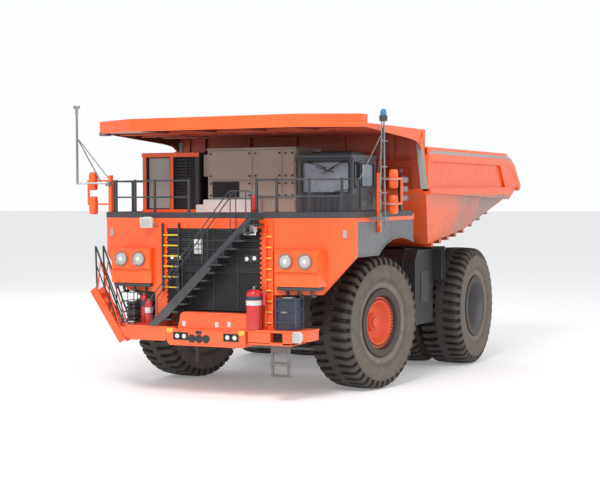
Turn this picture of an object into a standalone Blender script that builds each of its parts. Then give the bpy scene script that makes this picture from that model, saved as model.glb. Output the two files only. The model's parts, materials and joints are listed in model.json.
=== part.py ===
"""Rigid mining dump truck, modelled as separate sub-parts in metres.

+Z is up, the truck faces -Y and its cab is on the +X side. The origin is on the ground in the middle of
the truck. Moving pieces hang from empties that stand on their joints' axes.
"""
import math

import bmesh
import bpy
from mathutils import Matrix, Vector

GAP = 0.0003                      # between neighbours that touch
GLIDE = 0.0005                    # around a cylinder's sleeve and rod

# Wheels
TYRE_R = 1.92
TYRE_W = 1.35
TYRE_STEPS = 28
RIM_R = 0.83                      # bead seat
FLANGE_R = 0.97
FLANGE_T = 0.06
BEAD_HALF = 0.56                  # half the tyre's width at its bead
AXLE_Z = TYRE_R * math.cos(math.pi / TYRE_STEPS)
WHEELBASE = 6.50
FRONT_AXLE_Y = -3.52
REAR_AXLE_Y = FRONT_AXLE_Y + WHEELBASE
KINGPIN_X = 2.0
KINGPIN_REACH = 1.009             # kingpin to the middle of the front tyre
STEER_REST = math.radians(-11.45)
TWIN_GAP = 0.22
REAR_OUTER_X = 3.525              # middle of the outer rear tyre

# Frame
RAIL_IN = 0.60
RAIL_OUT = 0.95
RAIL_FRONT_Y = -6.35
RAIL_BACK_Y = 5.25
RAIL_MID = (RAIL_IN + RAIL_OUT) / 2
RAIL_LOW_Z = 1.35
RAIL_REAR_LOW_Z = 2.80
RAIL_TOP_FRONT_Z = 2.15
RAIL_TOP_REAR_Z = 3.38
PIVOT_Y = 4.90
PIVOT_Z = 3.10
PIVOT_PIN_R = 0.12

# Front and deck
DECK_Z = 4.83
DECK_T = 0.17
DECK_TOP = DECK_Z + DECK_T
DECK_HALF = 3.91
DECK_FRONT_Y = -7.10
DECK_CORNER_Y = -6.545
DECK_REAR_Y = -2.095
DECK_FLAT_HALF = 1.90             # half width of the straight middle of the deck's front
GRILLE_HALF = 1.48
GRILLE_LOW_Z = 2.42
FASCIA_Y = -7.25
BUMPER_HALF = 1.21
BUMPER_FRONT_Y = -7.755
BUMPER_LOW_Z = 1.46
BUMPER_TOP_Z = 1.92
SIDE_PLATFORM_TOP_Z = 1.96
SIDE_PLATFORM_OUT = 2.90

# Body
BODY_HALF = 4.25
BODY_SHELF_Z = 5.68
BODY_RAIL_Z = 6.94
BODY_FRONT_Y = -2.0
BODY_TAIL_Y = 7.755
CANOPY_FRONT_Y = -7.355
CANOPY_CORNER_Y = -6.525
CANOPY_HALF = 4.13
CANOPY_FLAT_HALF = 2.61
CANOPY_TOP_FRONT_Z = 7.71
CANOPY_LIP = 0.35
CANOPY_LIP_DEPTH = 0.35            # from the lip's front to the lower roof behind it
CANOPY_ROOF_Z = 7.48

# Hoists
HOIST_X = 1.14
HOIST_LOW = (0.55, 1.50)          # y, z of the barrel's pin
HOIST_HIGH = (0.60, 3.80)         # y, z of the rod's eye
BARREL_R = 0.165
SLEEVE_R = 0.125
ROD_R = 0.085

# Cab and boxes on the deck
CAB_X = (1.66, 3.32)
CAB_Y = (-5.30, -3.60)
CAB_TOP_Z = 6.62
CAB_WALL = 0.07

ORANGE = ((0.82, 0.13, 0.02), 0.45, 0.0)
DARK = ((0.045, 0.05, 0.055), 0.55, 0.2)
GREY = ((0.16, 0.17, 0.18), 0.55, 0.2)
BEIGE = ((0.52, 0.49, 0.42), 0.6, 0.0)
RUBBER = ((0.035, 0.032, 0.03), 0.9, 0.0)
STEEL = ((0.35, 0.36, 0.37), 0.4, 0.8)
RED = ((0.55, 0.02, 0.02), 0.4, 0.0)
BLUE = ((0.03, 0.06, 0.20), 0.5, 0.0)
GLASS = ((0.30, 0.38, 0.45), 0.1, 0.0)


# ---------------------------------------------------------------- scene and helpers

for thing in list(bpy.data.objects):
    bpy.data.objects.remove(thing, do_unlink=True)

truck = bpy.data.collections.new("mining_dump_truck")
bpy.context.scene.collection.children.link(truck)
PALETTE = {}


def material(colour, roughness, metallic):
    """One Principled material for each colour."""
    if colour not in PALETTE:
        made = bpy.data.materials.new("paint_%d" % len(PALETTE))
        made.use_nodes = True
        shader = made.node_tree.nodes["Principled BSDF"]
        shader.inputs["Base Color"].default_value = (*colour, 1.0)
        shader.inputs["Roughness"].default_value = roughness
        shader.inputs["Metallic"].default_value = metallic
        PALETTE[colour] = made
    return PALETTE[colour]


def adopt(shape):
    """A new object in the truck's collection from a mesh or a curve."""
    piece = bpy.data.objects.new("piece", shape)
    truck.objects.link(piece)
    return piece


def bake(piece):
    """The piece with its modifiers and placement worked into its mesh."""
    bpy.context.view_layer.update()
    seen = piece.evaluated_get(bpy.context.evaluated_depsgraph_get())
    mesh = bpy.data.meshes.new_from_object(seen)
    mesh.transform(piece.matrix_world)
    form = bmesh.new()
    form.from_mesh(mesh)
    bmesh.ops.remove_doubles(form, verts=form.verts, dist=1e-5)
    bmesh.ops.recalc_face_normals(form, faces=form.faces)
    form.to_mesh(mesh)
    form.free()
    bpy.data.objects.remove(piece, do_unlink=True)
    return adopt(mesh)


def box(low, high):
    """A box between two corners."""
    form = bmesh.new()
    bmesh.ops.create_cube(form, size=1.0)
    size = [b - a for a, b in zip(low, high)]
    middle = [(a + b) / 2 for a, b in zip(low, high)]
    bmesh.ops.scale(form, vec=size, verts=form.verts)
    bmesh.ops.translate(form, vec=middle, verts=form.verts)
    mesh = bpy.data.meshes.new("box")
    form.to_mesh(mesh)
    form.free()
    return adopt(mesh)


def span(low, high, side):
    """The two ends of a stretch across the truck, on the left for side 1 and mirrored for side -1."""
    return sorted((side * low, side * high))


def rod(start, end, radius, sides=12, radius_end=None):
    """A round bar, or a cone, between two points. A flat of its rim faces the world's axes."""
    start, end = Vector(start), Vector(end)
    run = end - start
    form = bmesh.new()
    bmesh.ops.create_cone(form, cap_ends=True, segments=sides, radius1=radius,
                          radius2=radius if radius_end is None else radius_end, depth=run.length)
    bmesh.ops.rotate(form, verts=form.verts, matrix=Matrix.Rotation(math.pi / sides, 3, "Z"))
    bmesh.ops.rotate(form, verts=form.verts, matrix=run.to_track_quat("Z", "Y").to_matrix())
    bmesh.ops.translate(form, vec=(start + end) / 2, verts=form.verts)
    mesh = bpy.data.meshes.new("rod")
    form.to_mesh(mesh)
    form.free()
    return adopt(mesh)


def prism(outline, low, high, axis="x"):
    """A flat outline carried from low to high along an axis. Points are (y, z), (x, z) or (x, y)."""
    place = {"x": lambda a, b, t: (t, a, b), "y": lambda a, b, t: (a, t, b), "z": lambda a, b, t: (a, b, t)}[axis]
    form = bmesh.new()
    floor = [form.verts.new(place(a, b, low)) for a, b in outline]
    face = form.faces.new(floor)
    lifted = bmesh.ops.extrude_face_region(form, geom=[face])["geom"]
    moved = [v for v in lifted if isinstance(v, bmesh.types.BMVert)]
    bmesh.ops.translate(form, verts=moved, vec=Vector(place(0, 0, high)) - Vector(place(0, 0, low)))
    bmesh.ops.recalc_face_normals(form, faces=form.faces)
    mesh = bpy.data.meshes.new("prism")
    form.to_mesh(mesh)
    form.free()
    return adopt(mesh)


def tube(points, radius):
    """A bent pipe along points, with closed ends."""
    line = bpy.data.curves.new("pipe", "CURVE")
    line.dimensions = "3D"
    line.bevel_depth = radius
    line.bevel_resolution = 2
    line.use_fill_caps = True
    path = line.splines.new("POLY")
    path.points.add(len(points) - 1)
    for spot, point in zip(path.points, points):
        spot.co = (*point, 1.0)
    return bake(adopt(line))


def lathe(profile, steps=TYRE_STEPS):
    """A solid turned about the X axis from (x, r) points, with a flat of its rim facing down."""
    mesh = bpy.data.meshes.new("lathe")
    mesh.from_pydata([(r, 0.0, x) for x, r in profile], [(i, i + 1) for i in range(len(profile) - 1)], [])
    if profile[0][1] > 0:
        mesh.clear_geometry()
        mesh.from_pydata([(r, 0.0, x) for x, r in profile], [(i, (i + 1) % len(profile)) for i in range(len(profile))], [])
    piece = adopt(mesh)
    turn = piece.modifiers.new("Turn", "SCREW")
    turn.steps = turn.render_steps = steps
    turn.use_merge_vertices = True
    turn.merge_threshold = 0.0001
    piece = bake(piece)
    piece.data.transform(Matrix.Rotation(math.radians(90), 4, "Y") @ Matrix.Rotation(math.pi / steps, 4, "Z"))
    return piece


def loft(sections):
    """A closed skin through sections that have equally many points, with flat ends."""
    form = bmesh.new()
    rings = [[form.verts.new(p) for p in section] for section in sections]
    count = len(rings[0])
    for near, far in zip(rings, rings[1:]):
        for i in range(count):
            j = (i + 1) % count
            form.faces.new((near[i], near[j], far[j], far[i]))
    form.faces.new(rings[0])
    form.faces.new(list(reversed(rings[-1])))
    bmesh.ops.recalc_face_normals(form, faces=form.faces)
    mesh = bpy.data.meshes.new("loft")
    form.to_mesh(mesh)
    form.free()
    return adopt(mesh)


def combine(base, others, operation):
    """Boolean of the base with every other piece, which are used up."""
    for other in others:
        step = base.modifiers.new("Join", "BOOLEAN")
        step.operation = operation
        step.object = other
    made = bake(base)
    for other in others:
        bpy.data.objects.remove(other, do_unlink=True)
    return made


def fuse(*pieces):
    """One solid from pieces that overlap."""
    return combine(pieces[0], pieces[1:], "UNION")


def cut(base, *cutters):
    """The base less the cutters."""
    return combine(base, cutters, "DIFFERENCE")


def mirrored(piece):
    """A copy of a piece on the other side of the truck."""
    mesh = piece.data.copy()
    mesh.transform(Matrix.Scale(-1, 4, (1, 0, 0)))
    mesh.flip_normals()
    return adopt(mesh)


def finish(piece, name, paint, parent=None):
    """Names a sub-part, paints it and hangs it from its joint's empty with its origin there."""
    piece.name = name
    piece.data.name = name
    piece.data.materials.clear()
    piece.data.materials.append(material(*paint))
    piece.data.shade_smooth()
    piece.data.set_sharp_from_angle(angle=math.radians(35))
    if parent is not None:
        bpy.context.view_layer.update()
        piece.data.transform(parent.matrix_world.inverted())
        piece.parent = parent
    return piece


def pivot(name, place, parent=None, turn=0.0):
    """An empty on a joint's axis, in world coordinates when built."""
    mark = bpy.data.objects.new(name, None)
    truck.objects.link(mark)
    if parent is not None:
        bpy.context.view_layer.update()
        mark.parent = parent
        mark.location = parent.matrix_world.inverted() @ Vector(place)
    else:
        mark.location = place
    mark.rotation_euler = (0, 0, turn)
    bpy.context.view_layer.update()
    return mark


# ---------------------------------------------------------------- wheels

def tyre_solid():
    """A tyre with slightly rounded shoulders, open for its rim."""
    half = TYRE_W / 2
    bead = BEAD_HALF - GAP
    side = [(bead, RIM_R + GAP), (bead, FLANGE_R + 0.02), (bead + 0.07, FLANGE_R + 0.07), (half - 0.02, 1.25),
            (half, 1.60), (half - 0.01, 1.80), (half - 0.11, TYRE_R)]
    profile = side + [(-x, r) for x, r in reversed(side)]
    return lathe(profile)


def front_rim_solid():
    """Barrel, two flanges and a dished disc with a hub, its outside towards +X."""
    end = BEAD_HALF + FLANGE_T
    profile = [(0.50, 0.0), (0.50, 0.36), (0.30, 0.42), (0.26, 0.66), (0.38, 0.74), (end, 0.76), (end, FLANGE_R),
               (BEAD_HALF, FLANGE_R), (BEAD_HALF, RIM_R), (-BEAD_HALF, RIM_R), (-BEAD_HALF, FLANGE_R),
               (-end, FLANGE_R), (-end, 0.76), (0.10, 0.72), (0.14, 0.45), (0.14, 0.0)]
    return lathe(profile)


def rear_rim_solid():
    """One long rim for both tyres of a side, with its disc deep inside the outer one."""
    inner_x = REAR_OUTER_X - TYRE_W - TWIN_GAP
    low, high = inner_x - BEAD_HALF, REAR_OUTER_X + BEAD_HALF
    mid_low, mid_high = inner_x + BEAD_HALF, REAR_OUTER_X - BEAD_HALF
    profile = [(3.80, 0.0), (3.80, 0.44), (3.45, 0.48), (3.42, 0.70), (high + FLANGE_T, 0.74), (high + FLANGE_T, FLANGE_R),
               (high, FLANGE_R), (high, RIM_R), (mid_high, RIM_R), (mid_high, 0.95), (mid_low, 0.95), (mid_low, RIM_R),
               (low, RIM_R), (low, FLANGE_R), (low - FLANGE_T, FLANGE_R), (low - FLANGE_T, 0.74), (3.28, 0.70), (3.28, 0.0)]
    return lathe(profile)


def knuckle_solid():
    """Kingpin post, spindle towards +X and steering arm towards +Y, about the kingpin's foot on the ground."""
    post = rod((0, 0, 1.02), (0, 0, 2.60), 0.27, 20)
    spindle = rod((0, 0, AXLE_Z), (KINGPIN_REACH + 0.14 - GAP, 0, AXLE_Z), 0.32, 20)
    arm = box((-0.14, 0.10, 1.06), (0.06, 0.72, 1.26))
    return fuse(post, spindle, arm)


def front_wheel(side, sign):
    """Steering knuckle, tyre and rim of one front wheel."""
    steer = pivot(side + "_steer", (sign * KINGPIN_X, FRONT_AXLE_Y, 0))
    knuckle = knuckle_solid()
    if sign < 0:
        flipped = mirrored(knuckle)
        bpy.data.objects.remove(knuckle, do_unlink=True)
        knuckle = flipped
    knuckle.data.transform(Matrix.Translation(steer.location))
    finish(knuckle, side + "_knuckle", DARK, steer)
    spin = pivot(side + "_spin", (sign * (KINGPIN_X + KINGPIN_REACH), FRONT_AXLE_Y, AXLE_Z), steer)
    for solid, name, paint in ((tyre_solid(), "_tyre", RUBBER), (front_rim_solid(), "_rim", ORANGE)):
        if sign < 0:
            solid.data.transform(Matrix.Rotation(math.pi, 4, "Z"))
        solid.data.transform(Matrix.Translation((sign * (KINGPIN_X + KINGPIN_REACH), FRONT_AXLE_Y, AXLE_Z)))
        finish(solid, side + name, paint, spin)
    steer.rotation_euler = (0, 0, STEER_REST)
    return steer


def rear_wheel(side, sign):
    """Twin tyres and their long rim."""
    spin = pivot(side + "_spin", (0, REAR_AXLE_Y, AXLE_Z))
    parts = [(rear_rim_solid(), 0, "_rim", STEEL), (tyre_solid(), REAR_OUTER_X, "_outer_tyre", RUBBER),
             (tyre_solid(), REAR_OUTER_X - TYRE_W - TWIN_GAP, "_inner_tyre", RUBBER)]
    for solid, x, name, paint in parts:
        solid.data.transform(Matrix.Translation((x, 0, 0)))
        if sign < 0:
            solid.data.transform(Matrix.Rotation(math.pi, 4, "Z"))
        solid.data.transform(Matrix.Translation((0, REAR_AXLE_Y, AXLE_Z)))
        finish(solid, side + name, paint, spin)


front_left = front_wheel("front_left", 1)
front_right = front_wheel("front_right", -1)
rear_wheel("rear_left", 1)
rear_wheel("rear_right", -1)


# ---------------------------------------------------------------- steering

def tie_rod():
    """Bar between the ends of both steering arms, straight across under the frame."""
    arm_y = 0.62
    eye = Matrix.Rotation(STEER_REST, 3, "Z") @ Vector((-0.04, arm_y, 0))
    other = Matrix.Rotation(STEER_REST, 3, "Z") @ Vector((0.04, arm_y, 0))
    left = Vector((KINGPIN_X, FRONT_AXLE_Y, 0)) + eye
    right = Vector((-KINGPIN_X, FRONT_AXLE_Y, 0)) + other
    z = 1.06 - GAP
    bar = rod((right.x, right.y, z - 0.10), (left.x, left.y, z - 0.10), 0.06, 12)
    eyes = [rod((p.x, p.y, z - 0.20), (p.x, p.y, z), 0.10, 12) for p in (left, right)]
    hinge = pivot("tie_rod_hinge", (left.x, left.y, z))
    finish(fuse(bar, *eyes), "tie_rod", STEEL, hinge)


tie_rod()


# ---------------------------------------------------------------- frame and axles

def main_frame():
    """Two deep rails with cross tubes, towers for the front struts, the body's pivot pin and the hoists' pins."""
    side = [(RAIL_FRONT_Y, RAIL_LOW_Z), (0.75, RAIL_LOW_Z), (1.85, RAIL_REAR_LOW_Z), (RAIL_BACK_Y, RAIL_REAR_LOW_Z),
            (RAIL_BACK_Y, RAIL_TOP_REAR_Z), (0.30, RAIL_TOP_REAR_Z), (-1.40, RAIL_TOP_FRONT_Z), (RAIL_FRONT_Y, RAIL_TOP_FRONT_Z)]
    rails = [prism(side, RAIL_IN, RAIL_OUT), prism(side, -RAIL_OUT, -RAIL_IN)]
    crossings = [((-5.95, 1.75), 0.24), ((-1.95, 1.75), 0.24), ((2.35, 3.08), 0.2)]
    tubes = [rod((-RAIL_IN - 0.1, y, z), (RAIL_IN + 0.1, y, z), r, 14) for (y, z), r in crossings]
    nose_beam = box((-RAIL_IN - 0.1, -0.55, 1.45), (RAIL_IN + 0.1, -0.15, 2.05))
    pin = rod((-1.22, PIVOT_Y, PIVOT_Z), (1.22, PIVOT_Y, PIVOT_Z), PIVOT_PIN_R, 16)
    hoist_pins = []
    for sign in (1, -1):
        hoist_pins.append(rod((sign * (RAIL_OUT - 0.05), *HOIST_LOW), (sign * (HOIST_X + 0.20), *HOIST_LOW), 0.07, 12))
    towers = []
    for sign in (1, -1):
        slope = [(sign * (RAIL_OUT - 0.1), 1.60), (sign * 1.25, 2.9), (sign * (KINGPIN_X - 0.27 - 0.2 - GAP), 2.9),
                 (sign * (KINGPIN_X - 0.27 - 0.2 - GAP), 4.0), (sign * (RAIL_OUT - 0.1), 4.0)]
        towers.append(prism(slope, FRONT_AXLE_Y - 0.26, FRONT_AXLE_Y + 0.26, "y"))
    cross_top = box((-RAIL_OUT, FRONT_AXLE_Y - 0.26, 3.62), (RAIL_OUT, FRONT_AXLE_Y + 0.26, 4.0))
    posts = [box((s * RAIL_IN if s > 0 else -RAIL_OUT, y - 0.14, 2.0), (RAIL_OUT if s > 0 else -RAIL_IN, y + 0.14, DECK_Z - 0.24 - GAP))
             for s in (1, -1) for y in (-2.35, -5.95)]
    finish(fuse(*rails, *tubes, nose_beam, pin, *hoist_pins, *towers, cross_top, *posts), "main_frame", GREY)


def struts():
    """Front suspension struts on the towers."""
    for side, sign in (("left", 1), ("right", -1)):
        x = sign * KINGPIN_X
        leg = rod((x, FRONT_AXLE_Y, 2.60 + GAP), (x, FRONT_AXLE_Y, 3.0), 0.19, 16)
        barrel = rod((x, FRONT_AXLE_Y, 2.95), (x, FRONT_AXLE_Y, 4.30), 0.26, 20)
        inner, outer = sorted((x - sign * 0.47, x))
        collar = box((inner, FRONT_AXLE_Y - 0.24, 3.1), (outer, FRONT_AXLE_Y + 0.24, 3.9))
        finish(fuse(barrel, leg, collar), "front_%s_strut" % side, DARK)


def rear_axle():
    """Round housing with the wheel motors in the rims, a trailing arm to the frame and two struts on a shelf."""
    housing = lathe([(3.28 - GAP, 0.0), (3.28 - GAP, 0.60), (1.25, 0.62), (0.85, 0.84), (-0.85, 0.84), (-1.25, 0.62),
                     (-3.28 + GAP, 0.60), (-3.28 + GAP, 0.0)], 24)
    housing.data.transform(Matrix.Translation((0, REAR_AXLE_Y, AXLE_Z)))
    arm = prism([(-0.24, -0.15 + GAP), (0.24, -0.15 + GAP), (0.52, 1.6), (0.52, 2.8), (-0.52, 2.8), (-0.52, 1.6)], 1.62, 1.98, "z")
    shelf = box((-0.95, 3.5, 1.62), (0.95, 4.25, 1.95))
    struts_low = [rod((x, 4.05, 1.90), (x, 4.05, 2.45), 0.11, 14) for x in (-RAIL_MID, RAIL_MID)]
    struts_high = [rod((x, 4.05, 2.30), (x, 4.05, RAIL_REAR_LOW_Z - GAP), 0.15, 14) for x in (-RAIL_MID, RAIL_MID)]
    finish(fuse(housing, arm, shelf, *struts_low, *struts_high), "rear_axle_housing", DARK)


def engine():
    """Plain block between the rails where the diesel engine and its generator sit."""
    finish(box((-RAIL_IN + GAP, -5.35, 1.60), (RAIL_IN - GAP, -2.45, 3.58)), "engine_block", GREY)


main_frame()
struts()
rear_axle()
engine()


# ---------------------------------------------------------------- front: bumper, fascia, grille, fenders

def bumper():
    """Central bumper with a raised plate behind it, and a step platform at each side."""
    centre = box((-BUMPER_HALF, BUMPER_FRONT_Y, BUMPER_LOW_Z), (BUMPER_HALF, RAIL_FRONT_Y - GAP, BUMPER_TOP_Z))
    plate = box((-0.90, BUMPER_FRONT_Y + 0.12, 1.8), (BUMPER_HALF - 0.01, FASCIA_Y - 0.1, 2.38))
    sides = []
    for s in (1, -1):
        outline = [(s * 1.0, -7.66), (s * 2.55, -7.66), (s * SIDE_PLATFORM_OUT, -7.2), (s * SIDE_PLATFORM_OUT, -6.65), (s * 1.0, -6.65)]
        sides.append(prism(outline, 1.56, SIDE_PLATFORM_TOP_Z, "z"))
    lug = box((-3.0, -6.70 + GAP, 1.43), (-2.84, -6.655, 1.60))
    finish(fuse(centre, plate, *sides, lug), "front_bumper", ORANGE)


def fascia():
    """Columns beside the grille with a beam over it, standing on the bumper."""
    columns = [box((s * GRILLE_HALF + (GAP if s > 0 else -0.38), FASCIA_Y, SIDE_PLATFORM_TOP_Z + GAP),
                   (s * GRILLE_HALF + (0.38 if s > 0 else -GAP), FASCIA_Y + 0.45, DECK_Z - GAP)) for s in (1, -1)]
    beam = box((-GRILLE_HALF - 0.2, FASCIA_Y + 0.02, 4.66), (GRILLE_HALF + 0.2, FASCIA_Y + 0.45, DECK_Z - GAP))
    finish(fuse(columns[0], columns[1], beam), "front_fascia", ORANGE)


def grille():
    """Radiator with its slatted front between the columns."""
    core = box((-GRILLE_HALF, FASCIA_Y + 0.06, GRILLE_LOW_Z), (GRILLE_HALF, FASCIA_Y + 0.55, 4.66 - GAP))
    foot = box((-0.9, FASCIA_Y + 0.1, 2.38 - 0.46 + GAP), (0.9, FASCIA_Y + 0.5, 2.5))
    slats = [box((-GRILLE_HALF + 0.05, FASCIA_Y + 0.01, z), (GRILLE_HALF - 0.05, FASCIA_Y + 0.1, z + 0.05))
             for z in (3.55, 3.8, 4.05, 4.3)]
    finish(fuse(core, foot, *slats), "radiator_grille", DARK)


def deck():
    """Flat deck with its swept front, on cross beams."""
    outline = [(DECK_FLAT_HALF, DECK_FRONT_Y - 0.15), (DECK_HALF, DECK_CORNER_Y), (DECK_HALF, DECK_REAR_Y),
               (-DECK_HALF, DECK_REAR_Y), (-DECK_HALF, DECK_CORNER_Y), (-DECK_FLAT_HALF, DECK_FRONT_Y - 0.15)]
    plate = prism(outline, DECK_Z, DECK_TOP, "z")
    beams = [box((-3.7, y - 0.12, DECK_Z - 0.24), (3.7, y + 0.12, DECK_Z + 0.02)) for y in (-2.35, -5.95)]
    finish(fuse(plate, *beams), "deck", ORANGE)


def fender(side, s):
    """Swept front panel with a slanted foot and the raised twin headlamp housing."""
    foot = [(s * (GRILLE_HALF + 0.38 + GAP), DECK_Z - GAP), (s * DECK_HALF, DECK_Z - GAP), (s * DECK_HALF, 3.89), (s * 3.05, 2.88),
            (s * (GRILLE_HALF + 0.38 + GAP), 2.88)]
    panel = prism(foot, -0.09, 0.09, "y")
    bend = (DECK_CORNER_Y - FASCIA_Y) / (DECK_HALF - DECK_FLAT_HALF)
    shear = Matrix.Identity(4)
    shear[1][0] = s * bend
    shear[1][3] = DECK_CORNER_Y + 0.10 - bend * DECK_HALF
    panel.data.transform(shear)
    house = box((s * 2.57 - 0.65, -7.36, 3.12), (s * 2.57 + 0.65, -6.85, 4.10))
    lamps = [rod((s * x, -7.43, 3.80), (s * x, -7.2, 3.80), 0.2, 16) for x in (2.28, 2.85)]
    finish(fuse(panel, house, *lamps), side + "_fender", ORANGE)


def side_panel(side, s):
    """Panel under the deck's side with the wheel's arch cut out of it."""
    arch = [(-4.85, 3.89), (-4.62, 4.03), (-4.25, 4.19), (-3.75, 4.30), (-3.15, 4.33), (-2.60, 4.28), (DECK_REAR_Y, 4.17)]
    outline = [(-6.33, DECK_Z - GAP), (-6.33, 3.89)] + arch + [(DECK_REAR_Y, DECK_Z - GAP)]
    x0, x1 = sorted((s * (DECK_HALF - 0.10), s * (DECK_HALF - 0.02)))
    finish(prism(outline, x0, x1), side + "_side_panel", GREY)


bumper()
fascia()
grille()
deck()
for side, s in (("left", 1), ("right", -1)):
    fender(side, s)
    side_panel(side, s)


# ---------------------------------------------------------------- dump body and hoists

dump_pivot = pivot("dump_pivot", (0, PIVOT_Y, PIVOT_Z))

BODY_WALL = 0.10
BODY_FLOOR_T = 0.14
# Ribs of the body from front to tail: (y, z) of the top rail, the shelf and the floor's edge, and its half width
BODY_STATIONS = [
    ((BODY_FRONT_Y, BODY_RAIL_Z), (BODY_FRONT_Y, BODY_SHELF_Z), (-0.05, 4.03), 3.60),
    ((2.95, BODY_RAIL_Z), (2.95, BODY_SHELF_Z), (2.95, 4.43), 3.77),
    ((5.60, BODY_RAIL_Z), (5.60, BODY_SHELF_Z), (5.76, 5.28), 4.10),
    ((6.02, BODY_RAIL_Z), (6.60, 5.74), (6.69, 5.60), 4.23),
    ((6.80, 6.76), (7.68, 5.98), (BODY_TAIL_Y, 5.88), BODY_HALF),
]


def body_tub(inset, lift, front, back):
    """The tub's outside, or its room: walls moved in by inset, floor lifted, ends moved, and open above."""
    sections = []
    last = len(BODY_STATIONS) - 1
    for i, (top, shelf, floor, half) in enumerate(BODY_STATIONS):
        shift = front if i == 0 else back if i == last else 0.0
        wide = BODY_HALF - inset
        top_z = top[1] + (0.9 if inset else 0.0)
        sill = [(wide, top[0] + shift, top_z), (wide, shelf[0] + shift, shelf[1] + lift * 0.5),
                (min(half, BODY_HALF - 0.01) - inset * 1.1, floor[0] + shift, floor[1] + lift)]
        sections.append(sill + [(-x, y, z) for x, y, z in reversed(sill)])
    tub = loft(sections)
    form = bmesh.new()
    form.from_mesh(tub.data)
    bmesh.ops.triangulate(form, faces=form.faces)
    form.to_mesh(tub.data)
    form.free()
    return tub


def canopy():
    """Flat roof over the deck behind a raised lip, swept at its front corners, hollow between its ribs underneath."""
    outline = [(CANOPY_FLAT_HALF, CANOPY_FRONT_Y), (CANOPY_HALF, CANOPY_CORNER_Y), (CANOPY_HALF, BODY_FRONT_Y + 0.3),
               (-CANOPY_HALF, BODY_FRONT_Y + 0.3), (-CANOPY_HALF, CANOPY_CORNER_Y), (-CANOPY_FLAT_HALF, CANOPY_FRONT_Y)]
    slab = prism(outline, CANOPY_TOP_FRONT_Z - CANOPY_LIP, CANOPY_TOP_FRONT_Z, "z")
    sweep = (CANOPY_CORNER_Y - CANOPY_FRONT_Y) / (CANOPY_HALF - CANOPY_FLAT_HALF)
    over = 0.2
    behind = [(CANOPY_FLAT_HALF, CANOPY_FRONT_Y + CANOPY_LIP_DEPTH),
              (CANOPY_HALF + over, CANOPY_CORNER_Y + CANOPY_LIP_DEPTH + sweep * over), (CANOPY_HALF + over, BODY_FRONT_Y + 0.4)]
    step = prism(behind + [(-x, y) for x, y in reversed(behind)], CANOPY_ROOF_Z, CANOPY_TOP_FRONT_Z + 0.1, "z")
    bays = []
    ribs = [-2.4, -0.8, 0.8, 2.4]
    edges = [-CANOPY_HALF + 0.1] + ribs + [CANOPY_HALF - 0.1]
    for low, high in zip(edges, edges[1:]):
        front = CANOPY_FRONT_Y + 0.14 if abs(low + high) < 3.5 else CANOPY_CORNER_Y + 0.1
        bays.append(box((low + 0.05, front, CANOPY_TOP_FRONT_Z - CANOPY_LIP - 0.1),
                        (high - 0.05, BODY_FRONT_Y - 0.1, CANOPY_ROOF_Z - 0.05)))
    return cut(slab, step, *bays)


def dump_body():
    """Tub with ribbed sides, canopy, floor beams, pivot ears and the brackets that the hoists lift."""
    outer = body_tub(0.0, 0.0, 0.0, 0.0)
    room = body_tub(BODY_WALL, BODY_FLOOR_T, 0.14, 0.4)
    wall = box((-CANOPY_HALF, BODY_FRONT_Y + 0.02, 5.8), (CANOPY_HALF, BODY_FRONT_Y + 0.15, CANOPY_ROOF_Z - 0.03))
    rail = [(BODY_FRONT_Y - 0.03, BODY_RAIL_Z - 0.22), (6.05, BODY_RAIL_Z - 0.22), (6.05, BODY_RAIL_Z + 0.02),
            (BODY_FRONT_Y - 0.03, BODY_RAIL_Z + 0.02)]
    shelf = [(BODY_FRONT_Y - 0.04, BODY_SHELF_Z - 0.12), (BODY_FRONT_Y - 0.04, BODY_SHELF_Z + 0.05), (6.7, BODY_SHELF_Z + 0.09)]
    rails = [prism(rail, *span(BODY_HALF - 0.16, BODY_HALF + 0.04, s)) for s in (1, -1)]
    shelves = [prism(shelf, *span(BODY_HALF - 0.08, BODY_HALF + 0.11, s)) for s in (1, -1)]
    beams = []
    for s in (1, -1):
        line = [(0.55, RAIL_TOP_REAR_Z + 0.006), (PIVOT_Y - 0.15, RAIL_TOP_REAR_Z + 0.006), (PIVOT_Y + 0.30, PIVOT_Z + 0.75),
                (5.6, 5.3), (2.95, 4.5), (0.0, 4.1)]
        beams.append(prism(line, min(s * 0.62, s * 0.93), max(s * 0.62, s * 0.93)))
    ears = []
    for s in (1, -1):
        line = [(4.55, PIVOT_Z - 0.28), (5.2, PIVOT_Z - 0.28), (5.75, 5.3), (4.2, 4.85)]
        ears.append(prism(line, min(s * (RAIL_OUT + GAP), s * 1.2), max(s * (RAIL_OUT + GAP), s * 1.2)))
    brackets = []
    for s in (1, -1):
        for x in (HOIST_X - 0.19, HOIST_X + 0.11):
            line = [(HOIST_HIGH[0] - 0.14, HOIST_HIGH[1] - 0.14), (HOIST_HIGH[0] + 0.14, HOIST_HIGH[1] - 0.14),
                    (HOIST_HIGH[0] + 0.5, 4.22), (HOIST_HIGH[0] - 0.45, 4.12)]
            brackets.append(prism(line, min(s * x, s * (x + 0.08)), max(s * x, s * (x + 0.08))))
    body = cut(outer, room)
    body = fuse(body, wall, canopy(), *rails, *shelves, *beams, *ears, *brackets)
    bore = rod((-1.4, PIVOT_Y, PIVOT_Z), (1.4, PIVOT_Y, PIVOT_Z), PIVOT_PIN_R + 0.015, 16)
    finish(cut(body, bore), "dump_body", ORANGE, dump_pivot)


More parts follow.
